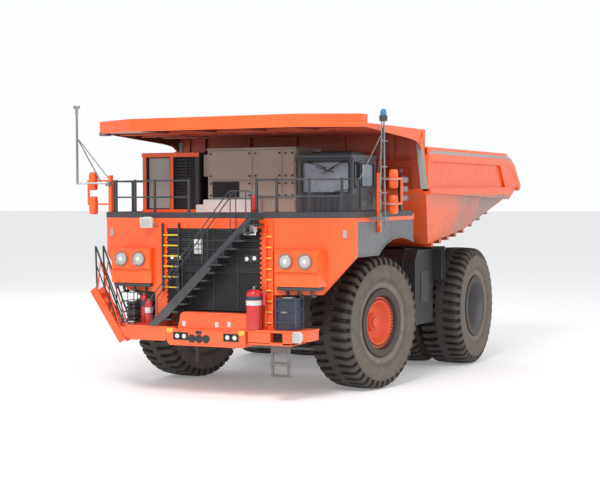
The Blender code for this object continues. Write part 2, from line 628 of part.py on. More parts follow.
def hoist(side, s):
    """Two-stage cylinder from the frame to the body: barrel, sleeve and rod on one leaning line."""
    x = s * HOIST_X
    low = Vector((x, *HOIST_LOW))
    high = Vector((x, *HOIST_HIGH))
    way = (high - low).normalized()
    length = (high - low).length
    swing = pivot(side + "_hoist_swing", low)
    barrel = rod(low, low + way * (length - 0.36), BARREL_R, 16)
    bore = rod(low + way * 0.16, low + way * length, SLEEVE_R + GLIDE, 16)
    reach = Vector((HOIST_X - RAIL_OUT - GAP, 0, 0))
    eye = rod(low - reach, low + reach, 0.17, 16)
    hole = rod(low - reach * 1.2, low + reach * 1.2, 0.08, 12)
    barrel = cut(fuse(cut(barrel, bore), eye), hole)
    finish(barrel, side + "_hoist_barrel", DARK, swing)
    slide = pivot(side + "_hoist_sleeve_slide", low, swing)
    sleeve = cut(rod(low + way * 0.18, low + way * (length - 0.28), SLEEVE_R, 16),
                 rod(low + way * 0.30, low + way * length, ROD_R + GLIDE, 16))
    finish(sleeve, side + "_hoist_sleeve", STEEL, slide)
    last = pivot(side + "_hoist_rod_slide", low, slide)
    shaft = rod(low + way * 0.32, high, ROD_R, 16)
    top_eye = rod(high - Vector((0.10, 0, 0)), high + Vector((0.10, 0, 0)), 0.12, 16)
    finish(fuse(shaft, top_eye), side + "_hoist_rod", STEEL, last)


dump_body()
hoist("left", 1)
hoist("right", -1)


# ---------------------------------------------------------------- on the deck

def cab():
    """Hollow cab with cut windows, its panes as one wrapped sheet, and the door on the outer side."""
    (x0, x1), (y0, y1) = CAB_X, CAB_Y
    z0, z1 = DECK_TOP + GAP, CAB_TOP_Z
    w = CAB_WALL
    shell = box((x0, y0, z0), (x1, y1, z1))
    room = box((x0 + w, y0 + w, z0 + w), (x1 - w, y1 - w, z1 - w))
    windscreen = box((x0 + 0.10, y0 - 0.1, z0 + 0.62), (x1 - 0.10, y0 + 0.2, z1 - 0.14))
    inner_window = box((x0 - 0.1, y0 + 0.14, z0 + 0.75), (x0 + 0.2, y1 - 0.3, z1 - 0.14))
    rear_window = box((x0 + 0.2, y1 - 0.2, z0 + 0.9), (x1 - 0.2, y1 + 0.1, z1 - 0.2))
    quarter_window = box((x1 - 0.2, y0 + 0.12, z0 + 0.75), (x1 + 0.1, y0 + 0.42, z1 - 0.14))
    doorway = box((x1 - 0.2, y0 + 0.50, z0 + 0.10), (x1 + 0.1, y1 - 0.14, z1 - 0.10))
    roof = box((x0 - 0.03, y0 - 0.16, z1 - 0.04), (x1 + 0.03, y1 + 0.03, z1 + 0.05))
    seat = box((x0 + 0.55, -4.35, z0 + 0.02), (x0 + 1.05, -3.85, z0 + 0.52))
    back = box((x0 + 0.55, -3.98, z0 + 0.4), (x0 + 1.05, -3.84, z0 + 1.15))
    console = box((x0 + 0.15, y0 + 0.03, z0 + 0.02), (x1 - 0.2, y0 + 0.4, z0 + 0.58))
    shell = cut(fuse(shell, roof), room, windscreen, inner_window, rear_window, quarter_window, doorway)
    finish(fuse(shell, seat, back, console), "cab_shell", DARK)
    hinge_x, hinge_y = x1 + 0.02 + GAP, y0 + 0.495
    hinge = pivot("cab_door_hinge", (hinge_x, hinge_y, DECK_TOP))
    leaf = box((x1 - 0.045, y0 + 0.512, z0 + 0.112), (x1 + 0.015, y1 - 0.152, z1 - 0.112))
    light = box((x1 - 0.2, y0 + 0.58, z0 + 0.78), (x1 + 0.2, y1 - 0.22, z1 - 0.18))
    knuckles = rod((hinge_x, hinge_y, z0 + 0.2), (hinge_x, hinge_y, z1 - 0.2), 0.02, 24)
    finish(fuse(cut(leaf, light), knuckles), "cab_door", DARK, hinge)
    t = 0.02
    glass_z = (z0 + 0.60, z1 - 0.12)
    front = box((x0 + w + GAP, y0 + w + GAP, glass_z[0]), (x1 - w - GAP, y0 + w + GAP + t, glass_z[1]))
    inner = box((x0 + w + GAP, y0 + w + GAP, glass_z[0]), (x0 + w + GAP + t, y1 - 0.28, glass_z[1]))
    outer = box((x1 - w - GAP - t, y0 + w + GAP, glass_z[0]), (x1 - w - GAP, y0 + 0.45, glass_z[1]))
    finish(fuse(front, inner, outer), "cab_glass", GLASS)


def deck_boxes():
    """Control cabinet with three doors' faces, resistor grid box in its frame, and the tall box beside the cab."""
    z = DECK_TOP + GAP
    cabinet = box((-1.40, -5.0, z), (1.45, -3.3, 6.90))
    duct = box((-1.60, -4.9, 6.12), (-1.3, -4.2, 6.76))
    low_box = box((-1.30, -5.45, z), (0.35, -4.9, 5.42))
    finish(fuse(cabinet, duct, low_box), "control_cabinet", BEIGE)
    frame_bars = [box((x - 0.07, y - 0.07, z + 0.02), (x + 0.07, y + 0.07, 6.80)) for x in (-3.53, -2.60, -1.74) for y in (-4.98, -3.32)]
    top = box((-3.62, -5.07, 6.70), (-1.65, -3.23, 6.82))
    low = box((-3.62, -5.07, z), (-1.65, -3.23, 5.15))
    stack = box((-2.61, -4.94, 5.1), (-1.78, -3.36, 6.76))
    panel = box((-3.48, -4.93, 5.1), (-2.59, -3.37, 6.75))
    finish(fuse(low, *frame_bars, top, stack, panel), "resistor_grid_box", DARK)


def handrails():
    """Rails along the front and the sides of the deck, on posts."""
    z = DECK_TOP + GAP
    run = [(DECK_HALF - 0.06, -6.20), (3.55, -6.58), (DECK_FLAT_HALF, DECK_FRONT_Y - 0.07)]
    back = (-DECK_HALF + 0.06, -2.25)
    for s, side, first, end in ((1, "left", [], 1.30), (-1, "right", [back], -0.80)):
        way = first + [(s * x, y) for x, y in run] + [(end, DECK_FRONT_Y - 0.07)]
        bars = []
        for height in (0.52, 0.98):
            for (xa, ya), (xb, yb) in zip(way, way[1:]):
                bars.append(rod((xa, ya, z + height), (xb, yb, z + height), 0.025, 6))
        posts = []
        for (xa, ya), (xb, yb) in zip(way, way[1:]):
            pieces = max(1, round(math.hypot(xb - xa, yb - ya) / 1.1))
            for i in range(pieces):
                f = i / pieces
                posts.append((xa + (xb - xa) * f, ya + (yb - ya) * f))
        posts.append(way[-1])
        stands = [box((x - 0.03, y - 0.03, z), (x + 0.03, y + 0.03, z + 1.02)) for x, y in posts]
        finish(fuse(bars[0], *stands, *bars[1:]), side + "_handrail", DARK)


def stairs():
    """Diagonal stair across the grille from the bumper to the deck."""
    y0, y1 = -7.74, FASCIA_Y - 0.13
    low = Vector((-1.86, 0, SIDE_PLATFORM_TOP_Z + 0.02))
    high = Vector((1.20, 0, 4.95))
    slope = (high - low).normalized()
    normal = Vector((-slope.z, 0, slope.x))
    stringers = []
    for y in (y0, y1 - 0.04):
        a, b = low - normal * 0.20, high - normal * 0.20
        c, d = high + normal * 0.14, low + normal * 0.14
        stringers.append(prism([(p.x, p.z) for p in (a, b, c, d)], y, y + 0.04, "y"))
    treads = []
    count = 11
    for i in range(count):
        p = low + (high - low) * ((i + 0.5) / count)
        treads.append(box((p.x - 0.16, y0 + 0.02, p.z - 0.02), (p.x + 0.16, y1 - 0.02, p.z + 0.02)))
    return stringers, treads, (y0, y1), low, high, normal


def front_stairs():
    """The diagonal stair with its two handrails."""
    stringers, treads, (y0, y1), low, high, normal = stairs()
    rails = []
    for y in (y0 + 0.02, y1 - 0.02):
        a = Vector((low.x + 0.1, y, low.z + 0.75))
        b = Vector((high.x - 0.45, y, 5.68))
        c = Vector((high.x + 0.05, y, 5.68))
        rails.append(tube([a, b, c, (c.x, y, high.z - 0.1)], 0.022))
        rails.append(rod((a.x, y, a.z), (a.x, y, low.z + 0.2), 0.022, 6))
        mid = (a + b) / 2
        rails.append(rod((mid.x, y, mid.z), (mid.x, y, mid.z - 0.75), 0.022, 6))
    below = box((-3.0, y0 - 0.5, 1.0), (0.0, y1 + 0.5, SIDE_PLATFORM_TOP_Z + GAP))
    finish(cut(fuse(*stringers, *treads, *rails), below), "front_stairs", DARK)


cab()
deck_boxes()
handrails()
front_stairs()


# ---------------------------------------------------------------- ladders, platforms and their fittings

def upright_ladder(side, x, half, low_z):
    """Vertical ladder with two side bars and round rungs, on the fascia's front."""
    y = FASCIA_Y - GAP
    bars = [box((low, y - 0.09, low_z), (low + 0.04, y, DECK_Z - 0.03)) for low in (x - half, x + half - 0.04)]
    count = round((DECK_Z - 0.2 - low_z) / 0.29)
    heights = [low_z + 0.12 + 0.29 * i for i in range(count)]
    rungs = [rod((x - half + 0.02, y - 0.05, z), (x + half - 0.02, y - 0.05, z), 0.018, 6) for z in heights]
    finish(fuse(*bars, *rungs), side + "_ladder", DARK)


def boarding_stair():
    """Folding stair at the outer end of the right platform, swung up, with a triangular handrail at each side."""
    foot = Vector((-SIDE_PLATFORM_OUT - 0.045, 0, 1.50))
    lean = math.radians(34)
    way = Vector((-math.sin(lean), 0, math.cos(lean)))
    side_way = Vector((-math.cos(lean), 0, -math.sin(lean)))
    length = 1.75
    y0, y1 = -7.15, -6.70
    hinge = pivot("boarding_stair_hinge", (foot.x, 0, foot.z))
    stringers = []
    for y in (y0, y1 - 0.06):
        corners = [foot - side_way * 0.02, foot + way * length - side_way * 0.02, foot + way * length + side_way * 0.22, foot + side_way * 0.22]
        stringers.append(prism([(p.x, p.z) for p in corners], y, y + 0.06, "y"))
    treads = []
    for i in range(5):
        p = foot + way * (0.2 + 0.33 * i) + side_way * 0.1
        q = [p + side_way * 0.10 - way * 0.02, p + side_way * 0.10 + way * 0.02, p - side_way * 0.10 + way * 0.02, p - side_way * 0.10 - way * 0.02]
        treads.append(prism([(c.x, c.z) for c in q], y0 + 0.02, y1 - 0.02, "y"))
    rails = []
    for y in (y0 + 0.03, y1 - 0.03):
        a = foot + way * 0.15
        b = foot + way * (length - 0.1)
        c = b - side_way * 0.06 + Vector((0.05, 0, 0.75))
        rails.append(tube([(a.x, y, a.z), (c.x, y, c.z), (b.x, y, b.z)], 0.025))
    bar = rod((foot.x, y0, foot.z), (foot.x, y1, foot.z), 0.04, 10)
    finish(fuse(*stringers, bar, *treads, *rails), "boarding_stair", ORANGE, hinge)


def hanging_step():
    """Step ladder with two openings hung under the left platform."""
    x0, x1, y = 1.80, 2.36, -7.35
    frame_plate = box((x0, y - 0.03, 0.68), (x1, y + 0.03, 1.56 - GAP))
    holes = [box((x0 + 0.07, y - 0.1, z), (x1 - 0.07, y + 0.1, z + 0.24)) for z in (0.76, 1.10)]
    tread = [box((x0, y - 0.12, z), (x1, y + 0.12, z + 0.04)) for z in (0.68, 1.02)]
    finish(fuse(cut(frame_plate, *holes), *tread), "hanging_step", GREY)


def bottle(x, y, z, radius, height):
    """An upright pressure bottle with a tapered neck and a valve block."""
    wall = rod((x, y, z), (x, y, z + height * 0.82), radius, 16)
    neck = rod((x, y, z + height * 0.80), (x, y, z + height * 0.92), radius, 16, radius * 0.35)
    valve = box((x - 0.05, y - 0.04, z + height * 0.9), (x + 0.05, y + 0.04, z + height))
    return fuse(wall, neck, valve)


def extinguishers():
    """One large bottle on the bumper's left end and two small ones on a rack on the right platform."""
    z = SIDE_PLATFORM_TOP_Z + GAP
    finish(bottle(1.40, -7.51, z, 0.165, 1.12), "large_extinguisher", RED)
    rack = box((-2.46, -7.44, z), (-1.92, -6.96, z + 0.04))
    finish(fuse(rack, bottle(-2.05, -7.30, z + 0.02, 0.11, 0.70), bottle(-2.32, -7.10, z + 0.02, 0.10, 0.85)),
           "small_extinguishers", RED)


def battery_box():
    """Blue box in a wire guard on the left platform."""
    z = SIDE_PLATFORM_TOP_Z + GAP
    body = box((2.02, -7.38, z), (2.52, -6.98, z + 0.80))
    bars = [box((1.97, -7.42, z + h), (2.57, -6.94, z + h + 0.03)) for h in (0.20, 0.50, 0.82)]
    posts = [box((x - 0.02, y - 0.02, z), (x + 0.02, y + 0.02, z + 0.88)) for x in (1.98, 2.56) for y in (-7.41, -6.95)]
    finish(fuse(body, *bars, *posts), "battery_box", BLUE)


def tanks():
    """Fuel tank on the left and oil tank on the right, hung from the rails between the wheels."""
    for name, s in (("fuel_tank", 1), ("oil_tank", -1)):
        outline = [(-0.78, 1.55), (0.80, 1.55), (0.80, 3.85), (-0.55, 3.85), (-0.78, 3.55)]
        tank = prism(outline, min(s * 1.72, s * 3.45), max(s * 1.72, s * 3.45))
        arms = [box((min(s * (RAIL_OUT + GAP), s * 1.8), -0.72, z), (max(s * (RAIL_OUT + GAP), s * 1.8), -0.45, z + 0.18)) for z in (1.62, 1.92)]
        finish(fuse(tank, *arms), name, GREY)


def mirror_bracket(side, s, x0, y, reach):
    """Post on the deck's side with a frame that carries two mirrors."""
    z = DECK_TOP + GAP
    post = box((min(s * x0, s * (x0 + 0.10)), y - 0.05, z if side == "right" else 4.52), (max(s * x0, s * (x0 + 0.10)), y + 0.05, 6.16))
    far = x0 + reach
    bars = [box((min(s * x0, s * far), y - 0.025, h), (max(s * x0, s * far), y + 0.025, h + 0.05)) for h in (5.30, 5.98)]
    stand = box((min(s * far, s * (far - 0.05)), y - 0.025, 5.30), (max(s * far, s * (far - 0.05)), y + 0.025, 6.03))
    heads = [box((min(s * (far - 0.34), s * (far - 0.14)), y - 0.13, h), (max(s * (far - 0.34), s * (far - 0.14)), y - 0.01, h + 0.50))
             for h in (5.74, 5.04)]
    finish(fuse(post, *bars, stand, *heads), side + "_mirror_bracket", ORANGE)


def masts():
    """Aerial mast out from the right corner post, and the lamp mast at the left."""
    x, y = -4.60, -7.0
    pole = rod((x, y, 5.90), (x, y, 8.10), 0.035, 8)
    cap = rod((x, y, 8.08), (x, y, 8.16), 0.10, 12)
    foot = tube([(x, y, 5.93), (-3.80, -6.63, 5.93)], 0.03)
    plate = box((-3.87, -6.65, 5.84), (-3.73, -6.58 - GAP, 5.975))
    stays = [tube([(x, y, 7.25), (x + 0.62, y + 0.29, 5.95)], 0.02)]
    finish(fuse(pole, cap, foot, plate, *stays), "aerial_mast", STEEL)
    x, y = 4.29, -5.45
    legs = [rod((x + a, y + b, DECK_TOP - 0.3), (x + a * 0.4, y + b * 0.4, 7.62), 0.02, 6) for a, b in ((-0.08, -0.08), (0.08, -0.08), (0.0, 0.1))]
    head = rod((x, y, 7.55), (x, y, 7.70), 0.09, 12)
    ball = rod((x, y, 7.69), (x, y, 7.86), 0.06, 12)
    foot_plate = box((DECK_HALF + GAP, y - 0.12, DECK_TOP - 0.14), (x + 0.12, y + 0.12, DECK_TOP - 0.04))
    rings = [rod((x, y, h), (x, y, h + 0.03), 0.11, 8) for h in (5.6, 6.3, 7.0)]
    finish(fuse(head, ball, *legs, foot_plate, *rings), "lamp_mast", STEEL)


upright_ladder("right", -1.32, 0.28, 2.9)
upright_ladder("left", 1.735, 0.12, SIDE_PLATFORM_TOP_Z + 0.05)
boarding_stair()
hanging_step()
extinguishers()
battery_box()
tanks()
mirror_bracket("right", -1, 3.72, -6.53, 0.84)
mirror_bracket("left", 1, DECK_HALF + GAP, -4.95, 0.74)
masts()
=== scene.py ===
"""Looks of a rigid mining dump truck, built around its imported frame.

+Z is up, the truck faces -Y and its cab is on the +X side, all in metres. Every new piece is a set of shells,
each worked out with numpy as a grid of points: an outline carried along a path, or a profile turned about an
axis. A shell is (points, faces), where faces is a list of index arrays. Pieces are put where the frame's
nodes are, and ride on the frame's bodies.
"""
import json
import math

import bpy
import numpy as np
from mathutils import Matrix, Vector


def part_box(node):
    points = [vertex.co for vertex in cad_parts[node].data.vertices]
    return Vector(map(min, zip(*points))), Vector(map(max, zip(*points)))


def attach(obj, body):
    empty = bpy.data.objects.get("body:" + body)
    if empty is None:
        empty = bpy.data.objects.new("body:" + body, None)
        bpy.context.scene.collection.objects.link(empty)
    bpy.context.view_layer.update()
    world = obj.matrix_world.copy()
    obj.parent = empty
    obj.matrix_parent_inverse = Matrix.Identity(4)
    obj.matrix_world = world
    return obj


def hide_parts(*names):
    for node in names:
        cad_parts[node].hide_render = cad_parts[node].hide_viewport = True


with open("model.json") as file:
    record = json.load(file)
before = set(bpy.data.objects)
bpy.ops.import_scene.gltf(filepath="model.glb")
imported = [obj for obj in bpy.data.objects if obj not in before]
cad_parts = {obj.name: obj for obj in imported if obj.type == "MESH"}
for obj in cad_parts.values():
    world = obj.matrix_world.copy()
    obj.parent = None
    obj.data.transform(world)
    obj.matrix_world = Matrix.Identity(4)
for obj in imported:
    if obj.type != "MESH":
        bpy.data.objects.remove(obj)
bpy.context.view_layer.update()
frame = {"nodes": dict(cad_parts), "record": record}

# Sizes that the pieces share with the frame
TYRE_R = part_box("rear_left_outer_tyre")[1].z / 2
FLANGE_R = 0.97
BEAD_HALF = 0.56
STEER_REST = math.radians(-11.45)
TWIN_PITCH = 1.57                 # between the middles of twin tyres
DECK_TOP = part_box("deck")[1].z
DECK_FRONT_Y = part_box("deck")[0].y
DECK_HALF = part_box("deck")[1].x
DECK_FLAT_HALF = 1.90
DECK_CORNER_Y = -6.545
FASCIA_Y = -7.25
BUMPER_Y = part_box("front_bumper")[0].y
BODY_HALF = 4.25
CANOPY_HALF = 4.13
CANOPY_LOW_Z = 7.36


# ---------------------------------------------------------------- shells

def unit(way):
    """A direction of length one."""
    way = np.asarray(way, float)
    return way / np.linalg.norm(way, axis=-1, keepdims=True)


def outward(points, faces):
    """The faces with their order turned round if the closed shell's signed volume is below zero."""
    volume = 0.0
    for group in faces:
        first = points[group[:, 0]]
        for k in range(1, group.shape[1] - 1):
            volume += np.sum(first * np.cross(points[group[:, k]], points[group[:, k + 1]]))
    return faces if volume > 0 else [group[:, ::-1] for group in faces]


def wrapped(grid, ring=False):
    """Shell of rings (rows, around, 3): quads between neighbours, and a flat face on each end unless it is a ring."""
    rows, around = grid.shape[:2]
    index = np.arange(rows * around).reshape(rows, around)
    ahead = np.roll(index, -1, axis=1)
    if ring:
        far, far_ahead = np.roll(index, -1, axis=0), np.roll(ahead, -1, axis=0)
        faces = [np.stack([index, ahead, far_ahead, far], -1).reshape(-1, 4)]
    else:
        faces = [np.stack([index[:-1], ahead[:-1], ahead[1:], index[1:]], -1).reshape(-1, 4), index[:1, ::-1],
                 index[-1:]]
    points = grid.reshape(-1, 3)
    return points, outward(points, faces)


def carried(outline, path, ring=False):
    """An outline (a, b) carried along a path: point + a * side + b * up, both square to the path there.

    Side is the tangent crossed with the axis that it leans on least, so the outline doesn't twist.
    """
    outline, path = np.asarray(outline, float), np.asarray(path, float)
    if ring:
        tangent = unit(np.roll(path, -1, axis=0) - np.roll(path, 1, axis=0))
    else:
        tangent = unit(np.gradient(path, axis=0))
    clear = [np.linalg.norm(np.cross(tangent, hint), axis=1).min() for hint in np.eye(3)[::-1]]
    best = next(i for i, c in enumerate(clear) if c > 0.5 or c == max(clear))
    side = unit(np.cross(tangent, np.eye(3)[::-1][best]))
    up = np.cross(side, tangent)
    grid = path[:, None] + side[:, None] * outline[None, :, :1] + up[:, None] * outline[None, :, 1:]
    return wrapped(grid, ring)


def circle(radius, sides):
    """Points of a circle: radius * (cos t, sin t)."""
    t = np.arange(sides) * 2 * np.pi / sides
    return radius * np.stack([np.cos(t), np.sin(t)], -1)


def rounded(points, reach, steps=5):
    """A bent line whose corners become arcs: (1-t)^2 a + 2t(1-t) corner + t^2 b, from reach before to reach after."""
    points = np.asarray(points, float)
    t = np.linspace(0, 1, steps)[:, None]
    line = [points[:1]]
    for before, corner, after in zip(points, points[1:], points[2:]):
        a, b = corner + unit(before - corner) * reach, corner + unit(after - corner) * reach
        line.append((1 - t) ** 2 * a + 2 * t * (1 - t) * corner + t ** 2 * b)
    return np.concatenate(line + [points[-1:]])


def pipe(points, radius, reach=0.0, sides=8):
    """A round bar along a bent line."""
    return carried(circle(radius, sides), rounded(points, reach) if reach else points)


def slab(low, high, bevel=0.012):
    """A box with cut edges: a rectangle with cut corners, drawn in by the bevel on its first and last ring."""
    low, high = np.minimum(low, high).astype(float), np.maximum(low, high).astype(float)
    half, middle = (high - low) / 2, (high + low) / 2
    bevel = min(bevel, half.min() * 0.7)
    rings = []
    for z, inset in ((-half[2], bevel), (bevel - half[2], 0.0), (half[2] - bevel, 0.0), (half[2], bevel)):
        hx, hy, c = half[0] - inset, half[1] - inset, bevel * (0.4 if inset else 1.0)
        flat = [(hx, hy - c), (hx - c, hy), (c - hx, hy), (-hx, hy - c), (-hx, c - hy), (c - hx, -hy),
                (hx - c, -hy), (hx, c - hy)]
        rings.append([(x, y, z) for x, y in flat])
    return wrapped(np.array(rings) + middle)


def plate(outline, low, high, axis):
    """A flat outline carried straight from low to high along an axis. Points are (y, z), (x, z) or (x, y)."""
    outline = np.asarray(outline, float)
    grid = np.empty((2, len(outline), 3))
    others = [k for k in range(3) if k != axis]
    grid[:, :, others] = outline
    grid[0, :, axis], grid[1, :, axis] = low, high
    return wrapped(grid)


def turned(profile, centre, axis, steps=48, ring=False):
    """A profile (along, radius) turned about an axis: centre + along * axis + radius * (cos t * side + sin t * up)."""
    profile, axis = np.asarray(profile, float), unit(axis)
    side = unit(np.cross(axis, (0, 0, 1) if abs(axis[2]) < 0.9 else (0, 1, 0)))
    up = np.cross(side, axis)
    spin = circle(1.0, steps)
    around = spin[:, :1] * side + spin[:, 1:] * up
    grid = np.asarray(centre, float) + profile[:, None, :1] * axis + profile[:, None, 1:] * around[None]
    return wrapped(grid, ring)


def repeated(shell, offsets):
    """Copies of a shell at many offsets, as one shell."""
    points, faces = shell
    offsets = np.asarray(offsets, float)
    jumps = np.arange(len(offsets)) * len(points)
    copies = [(group[None] + jumps[:, None, None]).reshape(-1, group.shape[1]) for group in faces]
    return (points[None] + offsets[:, None]).reshape(-1, 3), copies


def moved(shell, matrix):
    """A shell carried by a rigid matrix."""
    m = np.array(matrix)
    return shell[0] @ m[:3, :3].T + m[:3, 3], shell[1]


def mirror(shell):
    """A shell on the other side of the truck."""
    return shell[0] * (-1, 1, 1), [group[:, ::-1] for group in shell[1]]


def both(shells):
    """Shells together with their mirror images."""
    return shells + [mirror(shell) for shell in shells]


def spaced(start, end, count):
    """Evenly spaced offsets from start to end."""
    return np.linspace(start, end, count)


def bolt_row(start, end, count, axis, radius=0.016, height=0.014):
    """Six-sided bolt heads in a row, standing up along an axis."""
    head = turned([(0, radius), (height * 0.8, radius), (height, radius * 0.7)], (0, 0, 0), axis, 6)
    return repeated(head, spaced(start, end, count))


def put(name, shells, paint, body="chassis", fields=None, replaces=(), crease=35):
    """One piece from shells, painted, with its place in its mesh, riding on a body."""
    points = np.concatenate([shell[0] for shell in shells]).astype(np.float32)
    jumps = np.cumsum([0] + [len(shell[0]) for shell in shells])
    groups = [group + jump for (_, faces), jump in zip(shells, jumps) for group in faces]
    corners = np.concatenate([group.ravel() for group in groups]).astype(np.int32)
    sizes = np.concatenate([np.full(len(group), group.shape[1]) for group in groups])
    mesh = bpy.data.meshes.new(name)
    mesh.vertices.add(len(points))
    mesh.vertices.foreach_set("co", points.ravel())
    mesh.loops.add(len(corners))
    mesh.loops.foreach_set("vertex_index", corners)
    mesh.polygons.add(len(sizes))
    mesh.polygons.foreach_set("loop_start", (np.cumsum(sizes) - sizes).astype(np.int32))
    mesh.update(calc_edges=True)
    mesh.validate()
    for label, values in (fields or {}).items():
        mesh.attributes.new(label, "FLOAT", "POINT").data.foreach_set("value", values.astype(np.float32))
    mesh.materials.append(paint)
    mesh.shade_smooth()
    mesh.set_sharp_from_angle(angle=math.radians(crease))
    piece = bpy.data.objects.new(name, mesh)
    bpy.context.scene.collection.objects.link(piece)
    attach(piece, body)
    if replaces:
        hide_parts(*replaces)
    return piece


# ---------------------------------------------------------------- finishes

DUST = (0.30, 0.245, 0.19)


def step(tree, kind, feeds=(), output=0, **settings):
    """A node with its settings, and each feed's value or link in its socket. Gives one of its outputs."""
    node = tree.nodes.new("ShaderNode" + kind)
    for key, value in settings.items():
        setattr(node, key, value)
    for socket, value in feeds:
        if isinstance(value, bpy.types.NodeSocket):
            tree.links.new(value, node.inputs[socket])
        else:
            node.inputs[socket].default_value = value
    return node.outputs[output]


def sum_of(tree, operation, a, b=0.0, clamp=False):
    """A Math node of two values."""
    return step(tree, "Math", ((0, a), (1, b)), operation=operation, use_clamp=clamp)


def ranged(tree, value, low, high, to_low=0.0, to_high=1.0):
    """A value moved from one range to another, held within it."""
    return step(tree, "MapRange", ((0, value), (1, low), (2, high), (3, to_low), (4, to_high)))


def mixed(tree, share, a, b):
    """Colour a changed to colour b by a share."""
    feeds = [(0, share)] + [(i, (*c, 1.0) if isinstance(c, tuple) else c) for i, c in ((6, a), (7, b))]
    return step(tree, "Mix", feeds, output=2, data_type="RGBA")


def noise(tree, place, scale, detail, stretch=(1, 1, 1)):
    """Cloudy variation over a place, which may be stretched along an axis."""
    place = step(tree, "Mapping", (("Vector", place), ("Scale", stretch)))
    return step(tree, "TexNoise", (("Vector", place), ("Scale", scale), ("Detail", detail), ("Roughness", 0.6)))


def start_finish(name, metallic=0.0, coat=0.0):
    """A new material: its tree, shader, Object coordinates, x, y and z of them, and the face's normal parts."""
    made = bpy.data.materials.new(name)
    made.use_nodes = True
    tree = made.node_tree
    shader = tree.nodes["Principled BSDF"]
    shader.inputs["Metallic"].default_value = metallic
    shader.inputs["Coat Weight"].default_value = coat
    place = step(tree, "TexCoord", output=3)
    split = tree.nodes.new("ShaderNodeSeparateXYZ")
    tree.links.new(place, split.inputs[0])
    facing = tree.nodes.new("ShaderNodeSeparateXYZ")
    tree.links.new(step(tree, "NewGeometry", output=1), facing.inputs[0])
    return made, tree, shader, place, split.outputs, facing.outputs


def bumped(tree, shader, height, strength, distance):
    """Feeds a bump of a height into the shader's normal."""
    bump = step(tree, "Bump", (("Height", height), ("Strength", strength), ("Distance", distance)))
    tree.links.new(bump, shader.inputs["Normal"])


def weathered(name, colour, faded, rough, dust=0.45, low=0.0, high=4.0, metallic=0.0, coat=0.0, region=None):
    """Paint that fades in clouds, runs in faint streaks, and gathers dust low down and on what faces up."""
    made, tree, shader, place, xyz, facing = start_finish(name, metallic, coat)
    cloud = noise(tree, place, 0.55, 4)
    speck = noise(tree, place, 6.0, 6)
    streak = noise(tree, place, 1.0, 5, (7.0, 7.0, 0.5))
    tone = mixed(tree, ranged(tree, cloud, 0.35, 0.70), colour, faded)
    tone = mixed(tree, ranged(tree, streak, 0.56, 0.80, 0.0, 0.22), tone, tuple(c * 0.45 for c in colour))
    if region:
        tone = region(tree, tone, xyz, facing, cloud, speck)
    near_ground = ranged(tree, xyz[2], low, high, 1.0, 0.0)
    lying = ranged(tree, facing[2], 0.5, 0.95, 0.0, 0.55)
    patchy = ranged(tree, speck, 0.35, 0.70, 0.25, 1.0)
    share = sum_of(tree, "MULTIPLY", sum_of(tree, "MAXIMUM", near_ground, lying), patchy)
    share = sum_of(tree, "MULTIPLY", share, dust, True)
    tree.links.new(mixed(tree, share, tone, DUST), shader.inputs["Base Color"])
    worn = sum_of(tree, "ADD", ranged(tree, speck, 0.3, 0.7, rough - 0.08, rough + 0.10), share, True)
    tree.links.new(worn, shader.inputs["Roughness"])
    wave = noise(tree, place, 1.4, 2)
    height = sum_of(tree, "ADD", sum_of(tree, "MULTIPLY", wave, 0.7), sum_of(tree, "MULTIPLY", speck, 0.12))
    bumped(tree, shader, height, 0.25, 0.02)
    return made


